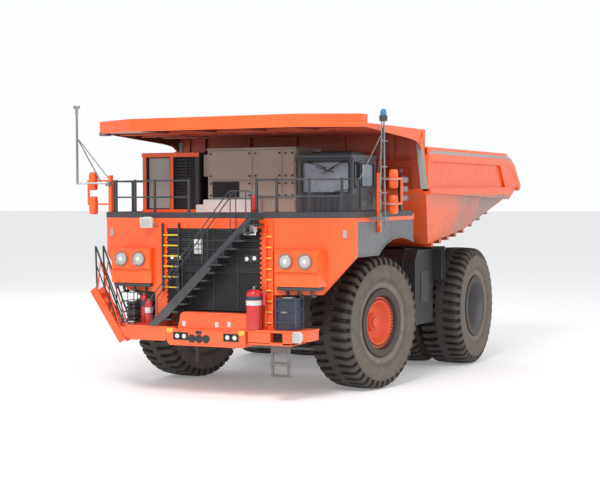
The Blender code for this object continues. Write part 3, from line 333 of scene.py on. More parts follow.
def body_regions(tree, tone, xyz, facing, cloud, speck):
    """The tipping body's areas: worn steel inside the tub, painted shade beneath the canopy (dark maroon, with a
    darker orange on the headboard's front face), dirt low on its sides, and painted shade in dark brown on low faces
    that look down.
    """
    wide = sum_of(tree, "ABSOLUTE", xyz[0])
    inward = sum_of(tree, "MULTIPLY", xyz[0], facing[0])
    floor = sum_of(tree, "GREATER_THAN", facing[2], 0.25)
    walls = sum_of(tree, "LESS_THAN", inward, -0.8)
    headboard = sum_of(tree, "GREATER_THAN", facing[1], 0.5)
    inner = sum_of(tree, "MAXIMUM", sum_of(tree, "MAXIMUM", floor, walls), headboard)
    inner = sum_of(tree, "MULTIPLY", inner, sum_of(tree, "LESS_THAN", wide, BODY_HALF - 0.07))
    inner = sum_of(tree, "MULTIPLY", inner, sum_of(tree, "GREATER_THAN", xyz[1], -1.95))
    inner = sum_of(tree, "MULTIPLY", inner, sum_of(tree, "LESS_THAN", xyz[2], 7.25))
    steel = mixed(tree, ranged(tree, speck, 0.35, 0.65), (0.16, 0.125, 0.10), (0.30, 0.25, 0.21))
    tone = mixed(tree, inner, tone, steel)
    # Painted shade beneath the canopy: its faces turn dark maroon, and those that face forward turn a darker orange.
    swept = sum_of(tree, "MULTIPLY", sum_of(tree, "SUBTRACT", wide, 2.61), 0.5461)
    edge = sum_of(tree, "ADD", sum_of(tree, "MAXIMUM", swept, 0.0), -7.33)
    canopy_shade_mask = sum_of(tree, "GREATER_THAN", xyz[1], edge)
    canopy_shade_mask = sum_of(tree, "MULTIPLY", canopy_shade_mask, sum_of(tree, "LESS_THAN", wide, CANOPY_HALF - 0.03))
    canopy_shade_mask = sum_of(tree, "MULTIPLY", canopy_shade_mask, sum_of(tree, "LESS_THAN", facing[2], 0.3))
    canopy_shade_mask = sum_of(tree, "MULTIPLY", canopy_shade_mask, sum_of(tree, "LESS_THAN", xyz[1], -1.75))
    canopy_shade_mask = sum_of(tree, "MULTIPLY", canopy_shade_mask, sum_of(tree, "GREATER_THAN", xyz[2], 5.72))
    shaded_front_wall = sum_of(tree, "LESS_THAN", facing[1], -0.5)
    shade = mixed(tree, cloud, (0.20, 0.036, 0.026), (0.10, 0.032, 0.028))
    tone = mixed(tree, canopy_shade_mask, tone, mixed(tree, shaded_front_wall, shade, (0.46, 0.058, 0.018)))
    low_side = ranged(tree, xyz[2], 5.60, 5.48, 0.0, 1.0)
    rear = sum_of(tree, "ADD", ranged(tree, xyz[1], 0.4, 3.4, 0.0, 1.1),
                  ranged(tree, xyz[2], 5.0, 5.5, 0.0, 0.45))
    dirt = sum_of(tree, "MULTIPLY", sum_of(tree, "MULTIPLY", low_side, rear),
                  ranged(tree, cloud, 0.36, 0.62, 0.15, 1.0))
    outside = sum_of(tree, "SUBTRACT", 1.0, inner)
    dirt = sum_of(tree, "MULTIPLY", dirt, outside, True)
    tone = mixed(tree, dirt, tone, (0.24, 0.175, 0.145))
    # Painted shade: faces that look down, low on the body, turn dark brown.
    below = sum_of(tree, "MULTIPLY", sum_of(tree, "LESS_THAN", facing[2], -0.85),
                   sum_of(tree, "LESS_THAN", xyz[2], 5.9))
    return mixed(tree, sum_of(tree, "MULTIPLY", below, 0.75), tone, (0.20, 0.13, 0.09))


def rubber(name):
    """Tyre rubber: brown dust on the side and painted shade in the tread's grooves, both by the mesh's own dust field.
    """
    made, tree, shader, place, _, _ = start_finish(name)
    dust_and_shade = step(tree, "Attribute", output=2, attribute_name="dust")
    speck = noise(tree, place, 5.0, 6)
    fine = noise(tree, place, 22.0, 4)
    share = sum_of(tree, "MULTIPLY", dust_and_shade, ranged(tree, speck, 0.25, 0.75, 0.55, 1.15), True)
    tone = mixed(tree, ranged(tree, fine, 0.3, 0.7), (0.016, 0.014, 0.013), (0.044, 0.038, 0.034))
    tree.links.new(mixed(tree, share, tone, (0.225, 0.185, 0.152)), shader.inputs["Base Color"])
    tree.links.new(ranged(tree, share, 0.0, 1.0, 0.72, 0.95), shader.inputs["Roughness"])
    bumped(tree, shader, sum_of(tree, "ADD", fine, speck), 0.35, 0.012)
    return made


def clear_glass(name, colour, rough, share):
    """Tinted glass, with faint smears in its gloss."""
    made, tree, shader, place, _, _ = start_finish(name)
    smear = noise(tree, place, 3.0, 4)
    shade = tuple(c * 0.75 for c in colour)
    tree.links.new(mixed(tree, ranged(tree, smear, 0.4, 0.7), colour, shade), shader.inputs["Base Color"])
    tree.links.new(ranged(tree, smear, 0.3, 0.8, rough, rough + 0.10), shader.inputs["Roughness"])
    shader.inputs["Transmission Weight"].default_value = share
    return made


def ribbed_lens(name, colour):
    """Pressed lamp glass: fine upright flutes over a pale reflector."""
    made, tree, shader, place, xyz, _ = start_finish(name, coat=1.0)
    flute = sum_of(tree, "SINE", sum_of(tree, "MULTIPLY", xyz[0], 160.0))
    speck = noise(tree, place, 9.0, 4)
    tone = mixed(tree, ranged(tree, flute, -1.0, 1.0, 0.0, 0.5), colour, tuple(c * 0.6 for c in colour))
    tone = mixed(tree, ranged(tree, speck, 0.5, 0.8, 0.0, 0.4), tone, DUST)
    tree.links.new(tone, shader.inputs["Base Color"])
    shader.inputs["Roughness"].default_value = 0.18
    bumped(tree, shader, flute, 0.3, 0.004)
    return made


def plain_finish(name, colour, rough, metallic=0.0, coat=0.0, spread=0.25):
    """A small fitting's finish: its colour varies a little in clouds, with fine grain."""
    made, tree, shader, place, _, _ = start_finish(name, metallic, coat)
    speck = noise(tree, place, 8.0, 5)
    dull = tuple(c * (1 - spread) for c in colour)
    tree.links.new(mixed(tree, ranged(tree, speck, 0.35, 0.7), colour, dull), shader.inputs["Base Color"])
    tree.links.new(ranged(tree, speck, 0.3, 0.7, rough - 0.06, rough + 0.08), shader.inputs["Roughness"])
    bumped(tree, shader, speck, 0.15, 0.01)
    return made


ORANGE = (0.90, 0.090, 0.008)
ORANGE_FADED = (0.86, 0.130, 0.020)
orange_paint = weathered("orange_paint", ORANGE, ORANGE_FADED, 0.36, 0.26, 0.8, 3.0, coat=0.30)
body_paint = weathered("body_paint", ORANGE, ORANGE_FADED, 0.40, 0.22, 3.6, 5.2, coat=0.20, region=body_regions)
hub_paint = weathered("hub_paint", (0.80, 0.075, 0.012), (0.70, 0.09, 0.020), 0.45, 0.22, 0.0, 4.0)
dark_paint = weathered("dark_paint", (0.028, 0.030, 0.035), (0.048, 0.050, 0.055), 0.50, 0.45, 0.0, 3.6)
cab_paint = weathered("cab_paint", (0.028, 0.034, 0.043), (0.045, 0.053, 0.064), 0.40, 0.30, 0.0, 3.0, coat=0.3)
tank_paint = weathered("tank_paint", (0.016, 0.017, 0.019), (0.030, 0.030, 0.032), 0.55, 0.22, 0.0, 3.6)
grey_paint = weathered("grey_paint", (0.125, 0.128, 0.138), (0.170, 0.172, 0.180), 0.50, 0.50, 0.6, 4.2)
pale_paint = weathered("pale_paint", (0.40, 0.40, 0.39), (0.32, 0.32, 0.31), 0.50, 0.40, 3.0, 6.0)
beige_paint = weathered("beige_paint", (0.40, 0.345, 0.295), (0.34, 0.295, 0.25), 0.55, 0.35, 4.6, 5.8)
white_paint = weathered("white_paint", (0.66, 0.65, 0.63), (0.54, 0.53, 0.51), 0.42, 0.30, 0.0, 4.0)
red_paint = weathered("red_paint", (0.58, 0.012, 0.016), (0.46, 0.016, 0.020), 0.30, 0.25, 0.8, 3.0, coat=0.5)
blue_paint = weathered("blue_paint", (0.012, 0.030, 0.075), (0.020, 0.042, 0.095), 0.45, 0.40, 0.8, 3.4)
yellow_paint = weathered("yellow_paint", (0.80, 0.50, 0.03), (0.66, 0.42, 0.05), 0.5, 0.35, 0.8, 3.4)
bare_steel = weathered("bare_steel", (0.30, 0.31, 0.32), (0.24, 0.245, 0.25), 0.38, 0.35, 0.6, 4.0,
                       metallic=0.8)
disc_paint = weathered("disc_paint", (0.26, 0.27, 0.29), (0.20, 0.21, 0.225), 0.42, 0.25, 0.4, 3.8)
rim_paint = weathered("rim_paint", (0.15, 0.155, 0.17), (0.11, 0.115, 0.125), 0.45, 0.45, 0.4, 3.8)
rim_band_paint = weathered("rim_band_paint", (0.030, 0.025, 0.023), (0.055, 0.043, 0.037), 0.55, 0.16, 0.4, 3.8)
tyre_rubber = rubber("tyre_rubber")
seal_rubber = plain_finish("seal_rubber", (0.020, 0.020, 0.021), 0.7)
cab_glazing = clear_glass("cab_glazing", (0.42, 0.50, 0.58), 0.06, 0.40)
mirror_glass = plain_finish("mirror_glass", (0.75, 0.78, 0.80), 0.08, metallic=1.0, spread=0.05)
lamp_lens = ribbed_lens("lamp_lens", (0.46, 0.46, 0.44))
lamp_core = ribbed_lens("lamp_core", (0.80, 0.80, 0.76))
blue_lens = clear_glass("blue_lens", (0.04, 0.30, 0.52), 0.12, 0.30)
red_lens = clear_glass("red_lens", (0.60, 0.01, 0.01), 0.15, 0.35)
tread_black = plain_finish("tread_black", (0.030, 0.031, 0.033), 0.6)

SLOT_PAINTS = {"orange_paint": orange_paint, "dark_paint": dark_paint, "grey_paint": grey_paint,
               "beige_paint": beige_paint, "red_paint": red_paint, "blue_paint": blue_paint,
               "bare_steel": bare_steel, "tyre_rubber": tyre_rubber, "cab_glazing": cab_glazing, }
NODE_PAINTS = {"dump_body": body_paint, "cab_shell": cab_paint, "cab_door": cab_paint, "fuel_tank": tank_paint,
               "oil_tank": tank_paint}
for row in frame["record"]["subparts"]:
    shown = frame["nodes"][row["node"]]
    shown.data.materials.clear()
    shown.data.materials.append(NODE_PAINTS.get(row["node"], SLOT_PAINTS[row["material_slot"]]))


# ---------------------------------------------------------------- wheels

LUGS = 42
LUG_DEPTH = 0.11


def tyre_shell():
    """A tyre about the X axis: a section curve turned round, sunk by LUG_DEPTH in slanting grooves at its shoulders.

    The grid leans with the grooves: each ring of points is turned on by a share of the lug pitch that grows
    with its distance from the middle, and by half a pitch more on one side. Within a pitch the height
    goes 0, 1, 1, 1, 0, 0.
    """
    half = [(0.0, 1.0), (0.05, 1.0), (0.095, 1.0), (0.13, 0.999), (0.165, 0.999), (0.23, 0.998), (0.30, 0.996),
            (0.38, 0.994), (0.46, 0.991), (0.53, 0.987), (0.585, 0.976), (0.622, 0.958), (0.645, 0.935),
            (0.660, 0.905), (0.670, 0.880), (0.6745, 0.868), (0.675, 0.845), (0.675, 0.80), (0.672, 0.745),
            (0.662, 0.69), (0.648, 0.64), (0.640, 0.632), (0.628, 0.58), (0.608, 0.54), (0.585, 0.515),
            (BEAD_HALF, 0.506)]
    half = np.array([(x, r * TYRE_R) for x, r in half])
    section = np.concatenate([half[::-1], half[1:] * (-1, 1), [(-BEAD_HALF, 0.84), (BEAD_HALF, 0.84)]])
    x, r = section[:, 0], section[:, 1]
    wide, share = np.abs(x), r / TYRE_R
    deep = np.clip((wide - 0.10) / 0.06, 0, 1) * np.clip((share - 0.868) / 0.012, 0, 1)
    lug = np.tile([0.0, 1.0, 1.0, 1.0, 0.0, 0.0], LUGS)
    parts = np.array([0.0, 0.05, 0.30, 0.55, 0.60, 0.80])
    turn = (np.arange(LUGS)[:, None] + parts).ravel() / LUGS
    lean = (0.5 * np.clip(x / 0.14, -0.5, 0.5) + 0.30 * np.clip(wide / 0.6, 0, 1)) / LUGS
    angle = 2 * np.pi * (turn[:, None] + lean[None])
    sunk = LUG_DEPTH * deep[None] * (1 - lug[:, None])
    slope = np.gradient(section[:, 1]), -np.gradient(section[:, 0])
    size = np.hypot(*slope) + 1e-9
    normal = np.sign(x * slope[0] + r * slope[1] + 1e-9)
    out_x, out_r = slope[0] / size * normal, slope[1] / size * normal
    px, pr = x[None] - out_x[None] * sunk, r[None] - out_r[None] * sunk
    grid = np.stack([px, pr * np.cos(angle), pr * np.sin(angle)], -1)
    side = np.clip((0.90 - share) / 0.05, 0, 1) * np.clip((share - 0.50) / 0.03, 0, 1)
    band = np.where(share < 0.69, 0.95, 0.62) * np.where(np.abs(share - 0.635) < 0.006, 0.45, 1.0)
    shoulder = 0.20 * np.clip((share - 0.88) / 0.02, 0, 1) * np.clip((wide - 0.35) / 0.2, 0.2, 1)
    # The field is dust, cut to 0.35 in the deep grooves so that they come out dark: painted shade there.
    dust = np.maximum(side * band, shoulder)[None] * np.where(sunk > 0.5 * LUG_DEPTH, 0.35, 1.0)
    return wrapped(grid, ring=True), dust.ravel()


def stud_ring(x, radius, count, size, height):
    """Stud heads in a circle about the X axis, pointing along it."""
    t = np.arange(count) * 2 * np.pi / count
    spots = np.stack([np.full(count, x), radius * np.cos(t), radius * np.sin(t)], -1)
    head = turned([(0, size), (height * 0.8, size), (height, size * 0.6)], (0, 0, 0), (1, 0, 0), 6)
    return repeated(head, spots)


TYRE, TYRE_DUST_AND_SHADE = tyre_shell()
RIM_BAND = turned([(0.62, 0.78), (0.625, 0.965), (0.56, FLANGE_R), (0.555, 0.83), (-0.555, 0.83),
                   (-0.56, FLANGE_R), (-0.62, 0.965), (-0.62, 0.78), (-0.30, 0.76), (0.30, 0.74), (0.46, 0.72),
                   (0.49, 0.755)], (0, 0, 0), (1, 0, 0), 96, True)
HUB = turned([(0.10, 0.05), (0.10, 0.70), (0.30, 0.755), (0.47, 0.755), (0.515, 0.73), (0.515, 0.60),
              (0.49, 0.575), (0.40, 0.54), (0.29, 0.47), (0.25, 0.40), (0.25, 0.27), (0.29, 0.25),
              (0.34, 0.235), (0.345, 0.16), (0.40, 0.15), (0.41, 0.13), (0.41, 0.03)], (0, 0, 0), (1, 0, 0), 96)
HUB_STUDS = stud_ring(0.512, 0.665, 44, 0.026, 0.035)
CAP_STUDS = stud_ring(0.343, 0.20, 12, 0.014, 0.018)


def rear_rim_shells():
    """Long rim of twin tyres about the X axis, from the outer tyre's middle: a deep barrel, its disc and its hub."""
    inner = -TWIN_PITCH
    barrel = turned([(0.62, 0.80), (0.625, 0.965), (0.56, FLANGE_R), (0.555, 0.83), (-0.555, 0.83),
                     (-0.56, 0.95), (inner + 0.56, 0.95), (inner + 0.555, 0.83), (inner - 0.555, 0.83),
                     (inner - 0.56, FLANGE_R), (inner - 0.62, 0.965), (inner - 0.62, 0.76), (-0.24, 0.74),
                     (-0.24, 0.66), (-0.16, 0.66), (-0.14, 0.74), (0.10, 0.77), (0.55, 0.785)], (0, 0, 0),
                    (1, 0, 0), 96, True)
    disc = turned([(-0.245, 0.05), (-0.245, 0.665), (-0.155, 0.665), (-0.12, 0.60), (-0.10, 0.47), (0.20, 0.44),
                   (0.235, 0.42),
                   (0.26, 0.36), (0.275, 0.20), (0.275, 0.03)], (0, 0, 0), (1, 0, 0), 96)
    ring = turned([(0.561, 0.80), (0.632, 0.80), (0.634, 0.965), (0.561, 0.972)], (0, 0, 0), (1, 0, 0), 96,
                  True)
    studs = [stud_ring(-0.14, 0.70, 40, 0.024, 0.03), stud_ring(-0.095, 0.53, 24, 0.022, 0.03),
             stud_ring(0.245, 0.38, 16, 0.018, 0.02)]
    return [barrel], [disc], [ring] + studs


REAR_RIM = rear_rim_shells()


def wheel_place(node, turn):
    """Matrix from a wheel's own frame, with its outside towards +X, to its place in the truck."""
    low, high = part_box(node)
    return Matrix.Translation((low + high) / 2) @ Matrix.Rotation(turn, 4, "Z")


for side, turn in (("left", 0.0), ("right", math.pi)):
    name = "front_" + side
    put_at = wheel_place(name + "_tyre", turn + STEER_REST)
    put(name + "_tread_tyre", [moved(TYRE, put_at)], tyre_rubber, name + "_wheel",
        {"dust": TYRE_DUST_AND_SHADE}, [name + "_tyre"], 40)
    put(name + "_hub", [moved(shell, put_at) for shell in (HUB, CAP_STUDS)], hub_paint, name + "_wheel",
        replaces=[name + "_rim"])
    put(name + "_rim_band", [moved(RIM_BAND, put_at), moved(HUB_STUDS, put_at)], rim_band_paint,
        name + "_wheel")
    name = "rear_" + side
    for which in ("outer", "inner"):
        node = name + "_" + which + "_tyre"
        put(name + "_" + which + "_tread_tyre", [moved(TYRE, wheel_place(node, turn))], tyre_rubber,
            name + "_wheels",
            {"dust": TYRE_DUST_AND_SHADE}, [node], 40)
    put_at = wheel_place(name + "_outer_tyre", turn)
    for label, shells, paint in zip(("_deep_rim", "_disc", "_lock_ring"), REAR_RIM,
                                    (rim_paint, disc_paint, rim_band_paint)):
        put(name + label, [moved(shell, put_at) for shell in shells], paint, name + "_wheels",
            replaces=[name + "_rim"] if label == "_deep_rim" else ())


# ---------------------------------------------------------------- front

def grille_face():
    """Slats over the grille's upper part, and a mesh of thin bars below it."""
    half, y = 1.46, FASCIA_Y
    shells = [repeated(slab((-half, y - 0.002, 0), (half, y + 0.05, 0.032), 0.006),
                       spaced((0, 0, 3.50), (0, 0, 4.60), 19))]
    shells.append(repeated(slab((-half, y + 0.015, 0), (half, y + 0.03, 0.014), 0.004),
                           spaced((0, 0, 2.46), (0, 0, 3.44), 22)))
    shells.append(repeated(slab((-0.007, y + 0.02, 2.44), (0.007, y + 0.04, 3.48), 0.003),
                           spaced((-half, 0, 0), (half, 0, 0), 56)))
    shells.append(slab((-half, y - 0.004, 3.455), (half, y + 0.05, 3.495)))
    shells.append(slab((-half, y - 0.004, 2.415), (half, y + 0.05, 2.455)))
    for x in (-0.74, 0.0, 0.74):
        shells.append(slab((x - 0.02, y - 0.004, 2.43), (x + 0.02, y + 0.05, 4.62)))
    return shells


def round_lamp(x, y, z, radius, depth=0.05):
    """A lens and its bezel on a face that looks towards -Y."""
    lens = turned([(0.0, 0.01), (0.0, radius), (depth * 0.5, radius), (depth * 0.8, radius * 0.8),
                   (depth, radius * 0.45),
                   (depth * 1.04, 0.01)], (x, y, z), (0, -1, 0), 32)
    bezel = turned([(0.0, radius * 1.001), (0.0, radius * 1.15), (depth * 0.8, radius * 1.15),
                    (depth, radius * 1.08),
                    (depth * 0.8, radius * 1.001)], (x, y, z), (0, -1, 0), 32, True)
    return lens, bezel


put("grille_slats", grille_face(), tread_black)

lenses, bezels, cores = [], [], []
for x in (-2.85, -2.28, 2.28, 2.85):
    lens, bezel = round_lamp(x, -7.43, 3.80, 0.175, 0.06)
    lenses.append(lens)
    bezels.append(bezel)
    cores.append(round_lamp(x, -7.475, 3.80, 0.06, 0.028)[0])
put("headlamp_lenses", lenses, lamp_lens)
put("headlamp_cores", cores, lamp_core)
put("headlamp_bezels", bezels, bare_steel)

lenses, bezels, housings = [], [], []
for x, z in ((-1.28, 3.86), (-1.05, 3.84), (1.05, 3.84), (1.28, 3.86)):
    lens, bezel = round_lamp(x, FASCIA_Y - 0.03, z, 0.062, 0.03)
    lenses.append(lens)
    bezels.append(bezel)
for x in (-1.165, 1.165):
    housings.append(slab((x - 0.22, FASCIA_Y - 0.03, 3.74), (x + 0.22, FASCIA_Y + 0.03, 3.97)))
for x, z in ((-0.88, 1.725), (-0.66, 1.725), (0.68, 1.735), (0.90, 1.735)):
    lens, bezel = round_lamp(x, BUMPER_Y + 0.020, z, 0.066, 0.019)
    lenses.append(lens)
    bezels.append(bezel)
put("small_lamp_lenses", lenses, lamp_core)
put("small_lamp_bezels", bezels, seal_rubber)
put("grille_lamp_housings", housings, tread_black)


def bumper_shells():
    """Centre beam with cut lower corners, the raised plate behind it, and the stepped platforms beside it."""
    beam = [(-1.21, 1.925), (1.21, 1.925), (1.21, 1.53), (1.13, 1.465), (-1.13, 1.465), (-1.21, 1.56)]
    raised = [(-0.92, 1.90), (1.20, 1.90), (1.20, 2.38), (-0.74, 2.38), (-0.83, 2.33)]
    shells = [plate(beam, BUMPER_Y + 0.022, -6.36, 1), plate(raised, -7.635, -7.352, 1),
              slab((-1.20, BUMPER_Y + 0.010, 1.895), (1.20, BUMPER_Y + 0.05, 1.928), 0.006),
              slab((-1.12, BUMPER_Y + 0.010, 1.465), (1.12, BUMPER_Y + 0.05, 1.50),
                   0.006), slab((-0.74, -7.645, 2.352), (1.205, -7.60, 2.385), 0.006)]
    left = [(1.0, -7.66), (2.55, -7.66), (2.90, -7.20), (2.90, -6.65), (1.0, -6.65)]
    shells.append(plate(left, 1.90, 1.96, 2))
    shells += [slab((1.24, -7.655, 1.60), (1.92, -6.70, 1.905), 0.012),
               slab((2.28, -7.655, 1.58), (2.55, -6.70, 1.905), 0.012),
               slab((1.24, -7.655, 1.56), (2.55, -6.70, 1.64),
                    0.012), plate([(2.54, -7.655), (2.89, -7.195), (2.89, -6.66), (2.54, -6.66)], 1.66, 1.90,
                                  2)]
    right = [(-x, y) for x, y in left]
    shells.append(plate(right, 1.90, 1.96, 2))
    foot = [(-1.20, 1.90), (-1.20, 1.74), (-1.34, 1.56), (-2.40, 1.56), (-2.62, 1.64), (-2.76, 1.90)]
    shells += [plate(foot, -7.655, -7.60, 1), plate(foot, -7.60, -6.72, 1),
               plate([(-2.54, -7.655), (-2.89, -7.195), (-2.89, -6.66), (-2.54, -6.66)], 1.74, 1.90, 2)]
    shells += [slab((-3.0, -6.70, 1.43), (-2.84, -6.655, 1.60)),
               slab((-2.98, -6.70, 1.56), (-2.60, -6.655, 1.76))]
    shells.append(bolt_row((-1.02, BUMPER_Y + 0.022, 1.88), (1.02, BUMPER_Y + 0.022, 1.88), 9, (0, -1, 0),
                           0.012, 0.010))
    shells.append(bolt_row((-0.66, -7.635, 2.30), (1.12, -7.635, 2.30), 7, (0, -1, 0)))
    return shells


put("bumper_beam", bumper_shells(), orange_paint, replaces=["front_bumper"])


def lamp_bay(x, z):
    """A dark frame of four bars round a pair of lamps that sit in the bumper's face."""
    y = BUMPER_Y
    return [slab((x - 0.23, y, z + 0.085), (x + 0.23, y + 0.06, z + 0.105), 0.004),
            slab((x - 0.23, y, z - 0.105), (x + 0.23, y + 0.06, z - 0.085), 0.004),
            slab((x - 0.23, y, z - 0.10), (x - 0.21, y + 0.06, z + 0.10),
                 0.004), slab((x + 0.21, y, z - 0.10), (x + 0.23, y + 0.06, z + 0.10), 0.004)]


connectors = []
for x in (-0.42, -0.20, 0.02):
    connectors.append(turned([(0, 0.11), (0.0, 0.02), (-0.02, 0.02), (-0.02, 0.09), (-0.03, 0.11)][::-1],
                             (x, BUMPER_Y + 0.031, 1.67), (0, 1, 0), 24, True))
    connectors.append(turned([(0.0, 0.03), (0.0, 0.095), (0.012, 0.09), (0.02, 0.03)],
                             (x, BUMPER_Y + 0.025, 1.67), (0, -1, 0), 24))
connectors.append(slab((-0.30, BUMPER_Y + 0.0, 1.80), (-0.12, BUMPER_Y + 0.05, 1.88)))
connectors.append(slab((-0.71, -7.05, 0.95), (-0.59, -6.99, 1.50)))
put("tow_connectors", connectors + lamp_bay(-0.77, 1.725) + lamp_bay(0.79, 1.735), tread_black)
put("bumper_lamp_backs", [slab((x - 0.22, BUMPER_Y + 0.017, z - 0.095), (x + 0.22, BUMPER_Y + 0.04, z + 0.095),
                               0.002)
                          for x, z in ((-0.77, 1.725), (0.79, 1.735))], seal_rubber)
put("bumper_corner_patches", [plate([(x, 1.93), (x + w, 1.93), (x + w, 1.84), (x + w * 0.5, 1.80), (x, 1.82)],
                                    BUMPER_Y + 0.002, BUMPER_Y + 0.04, 1)
                              for x, w in ((-1.205, 0.19), (1.015, 0.19))], yellow_paint)

tags = [slab((x - 0.05, -7.648, z - 0.07), (x + 0.05, -7.63, z + 0.07), 0.004) for x,
        z in ((-0.72, 2.06), (0.30, 2.06), (0.68, 2.08))]
for col in range(2):
    for rank in range(3):
        x, z = -0.60 + 0.145 * col, 3.96 + 0.14 * rank
        tags.append(slab((x, FASCIA_Y - 0.02, z), (x + 0.125, FASCIA_Y - 0.002, z + 0.118), 0.004))
put("blank_plates", tags, white_paint)


def fender_front(x):
    """The y of the swept panel's front face at a distance from the middle."""
    bend = (DECK_CORNER_Y - FASCIA_Y) / (DECK_HALF - DECK_FLAT_HALF)
    return DECK_CORNER_Y + 0.10 - bend * (DECK_HALF - abs(x)) - 0.09


markers, housings = [], []
for s in (1, -1):
    y = fender_front(3.66)
    markers.append(slab((s * 3.60, y - 0.05, 4.40), (s * 3.71, y + 0.02, 4.62)))
    x = s * 2.57
    housings.append(slab((x - 0.63, -7.41, 3.50), (x + 0.63, -7.355, 4.085), 0.02))
    housings.append(slab((x - 0.64, -7.385, 3.44), (x + 0.64, -7.355, 3.475), 0.008))
    for k in (-1, 1):
        housings.append(bolt_row((x + k * 0.56, -7.362, 3.20), (x + k * 0.56, -7.362, 3.40), 3, (0, -1, 0)))
    near, far, edge_x = 2.0, 3.75, 3.84
    housings.append(bolt_row((s * near, fender_front(near) + 0.002, 4.74),
                             (s * far, fender_front(far) + 0.002, 4.74), 12, (0, -1, 0)))
    housings.append(bolt_row((s * edge_x, fender_front(edge_x) + 0.002, 4.0),
                             (s * edge_x, fender_front(edge_x) + 0.002, 4.6), 4, (0, -1, 0)))
    housings.append(bolt_row((s * 1.80, FASCIA_Y + 0.002, 2.2), (s * 1.80, FASCIA_Y + 0.002, 4.6), 12,
                             (0, -1, 0)))
    housings.append(repeated(slab((s * 1.44, FASCIA_Y - 0.03, 0), (s * 1.50, FASCIA_Y + 0.03, 0.07), 0.008),
                             spaced((0, 0, 2.5), (0, 0, 4.5), 16)))
put("marker_plates", markers, pale_paint)
put("headlamp_housings", housings, orange_paint)
put("lamp_ledges", [slab((s * 2.57 - 0.60, -7.33, 3.02), (s * 2.57 + 0.60, -6.95, 3.115)) for s in (1, -1)]
    + [pipe([(s * 2.57 + k * 0.36, -7.20, 3.03), (s * 2.57 + k * 0.36, -7.14, 2.86),
             (s * 2.57 + k * 0.36, -6.95, 2.86)], 0.04, 0.06)
       for s in (1, -1) for k in (-1, 0, 1)], dark_paint)


def flood_lamp(x, y, z, tilt, size=1.0):
    """A floodlight's case with its flared lens frame, and its lens."""
    case = slab((-0.17, -0.09, -0.13), (0.17, 0.10, 0.13), 0.05)
    lip = slab((-0.19, -0.12, -0.15), (0.19, -0.08, 0.15), 0.015)
    lens = slab((-0.16, -0.128, -0.12), (0.16, -0.10, 0.12), 0.01)
    place = Matrix.Translation((x, y, z)) @ Matrix.Rotation(tilt, 4, "X") @ Matrix.Scale(size, 4)
    return [moved(case, place), moved(lip, place)], [moved(lens, place)]


cases, lenses, brackets = [], [], []
for x, y, z, tilt in ((-2.02, -7.36, 4.84, 0.25), (1.24, -7.42, 4.66, 0.25), (2.62, -7.50, 1.80, 0.0)):
    case, lens = flood_lamp(x, y, z, tilt)
    cases += case
    lenses += lens
brackets += [slab((-2.05, -7.33, 4.80), (-1.99, -7.18, 4.95)), slab((1.20, -7.34, 4.60), (1.28, -7.23, 4.75))]
brackets += [pipe([(-2.02, -7.24, 4.80), (-1.85, -7.30, 4.78), (-1.75, -7.27, 4.70)], 0.02, 0.05)]
put("flood_lamp_cases", cases, white_paint)
put("flood_lamp_lenses", lenses, lamp_lens)
put("flood_lamp_brackets", brackets, grey_paint)


def stair_shells():
    """Front stair: stringer plates along both edges, treads between them, and a closed back between the treads' tips.

    Its upper edge runs along x = -1.66 + 1.045 * (z - 2.13), and every height is measured from that line.
    """
    front_y, back_y = -7.74, -7.38

    def edge(z, shift=0.0):
        return -1.66 + 1.045 * (z - 2.13) + shift, z

    low, high = 1.985, 4.93
    slim = [edge(low), edge(high), edge(high, 0.19), edge(low, 0.19)]
    wide = [edge(low, 0.02), edge(3.66, 0.02), edge(3.60, 0.34), edge(2.20, 0.36), edge(low, 0.28)]
    shells = [plate(slim, front_y, front_y + 0.022, 1), plate(slim, back_y - 0.022, back_y, 1),
              plate(wide, front_y - 0.006, front_y + 0.012, 1)]
    heights = np.linspace(2.16, 4.78, 13)
    for z in heights:
        x = edge(z)[0]
        shells.append(slab((x + 0.03, front_y + 0.010, z - 0.022), (x + 0.52, back_y - 0.008, z + 0.018),
                           0.008))
        shells.append(slab((x + 0.36, front_y + 0.03, z - 0.05), (x + 0.38, back_y - 0.01, z + 0.16), 0.006))
    shells.append(slab((edge(high)[0] - 0.02, front_y + 0.01, 4.90), (edge(high)[0] + 0.36, back_y, 4.95)))
    for y in (front_y + 0.02, back_y - 0.02):
        a, b, c = (-1.72, y, 2.73), (0.75, y, 5.68), (1.25, y, 5.68)
        shells.append(pipe([a, b, c, (1.25, y, 4.92)], 0.017, 0.10))
        shells += [pipe([(x, y, z), (x, y, z - drop)], 0.015) for x, z,
                   drop in ((-1.72, 2.75, 0.68), (-0.9, 3.71, 0.75), (-0.1, 4.67, 0.95), (0.78, 5.68, 1.10))]
    return shells


put("front_stair", stair_shells(), dark_paint, replaces=["front_stairs"])


def ladder_shells(node):
    """Side bars and rungs of an upright ladder in its node's box."""
    low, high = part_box(node)
    rails = [slab((x, low.y, low.z), (x + 0.04, high.y, high.z), 0.006) for x in (low.x, high.x - 0.04)]
    count = round((high.z - 0.17 - low.z) / 0.29)
    rung = pipe([(low.x + 0.02, low.y + 0.045, low.z + 0.12), (high.x - 0.02, low.y + 0.045, low.z + 0.12)],
                0.022)
    return rails, [repeated(rung, spaced((0, 0, 0), (0, 0, 0.29 * (count - 1)), count))]


for side in ("left", "right"):
    rails, rungs = ladder_shells(side + "_ladder")
    put(side + "_ladder_bars", rails, orange_paint if side == "left" else dark_paint,
        replaces=[side + "_ladder"])
    put(side + "_ladder_rungs", rungs, yellow_paint)

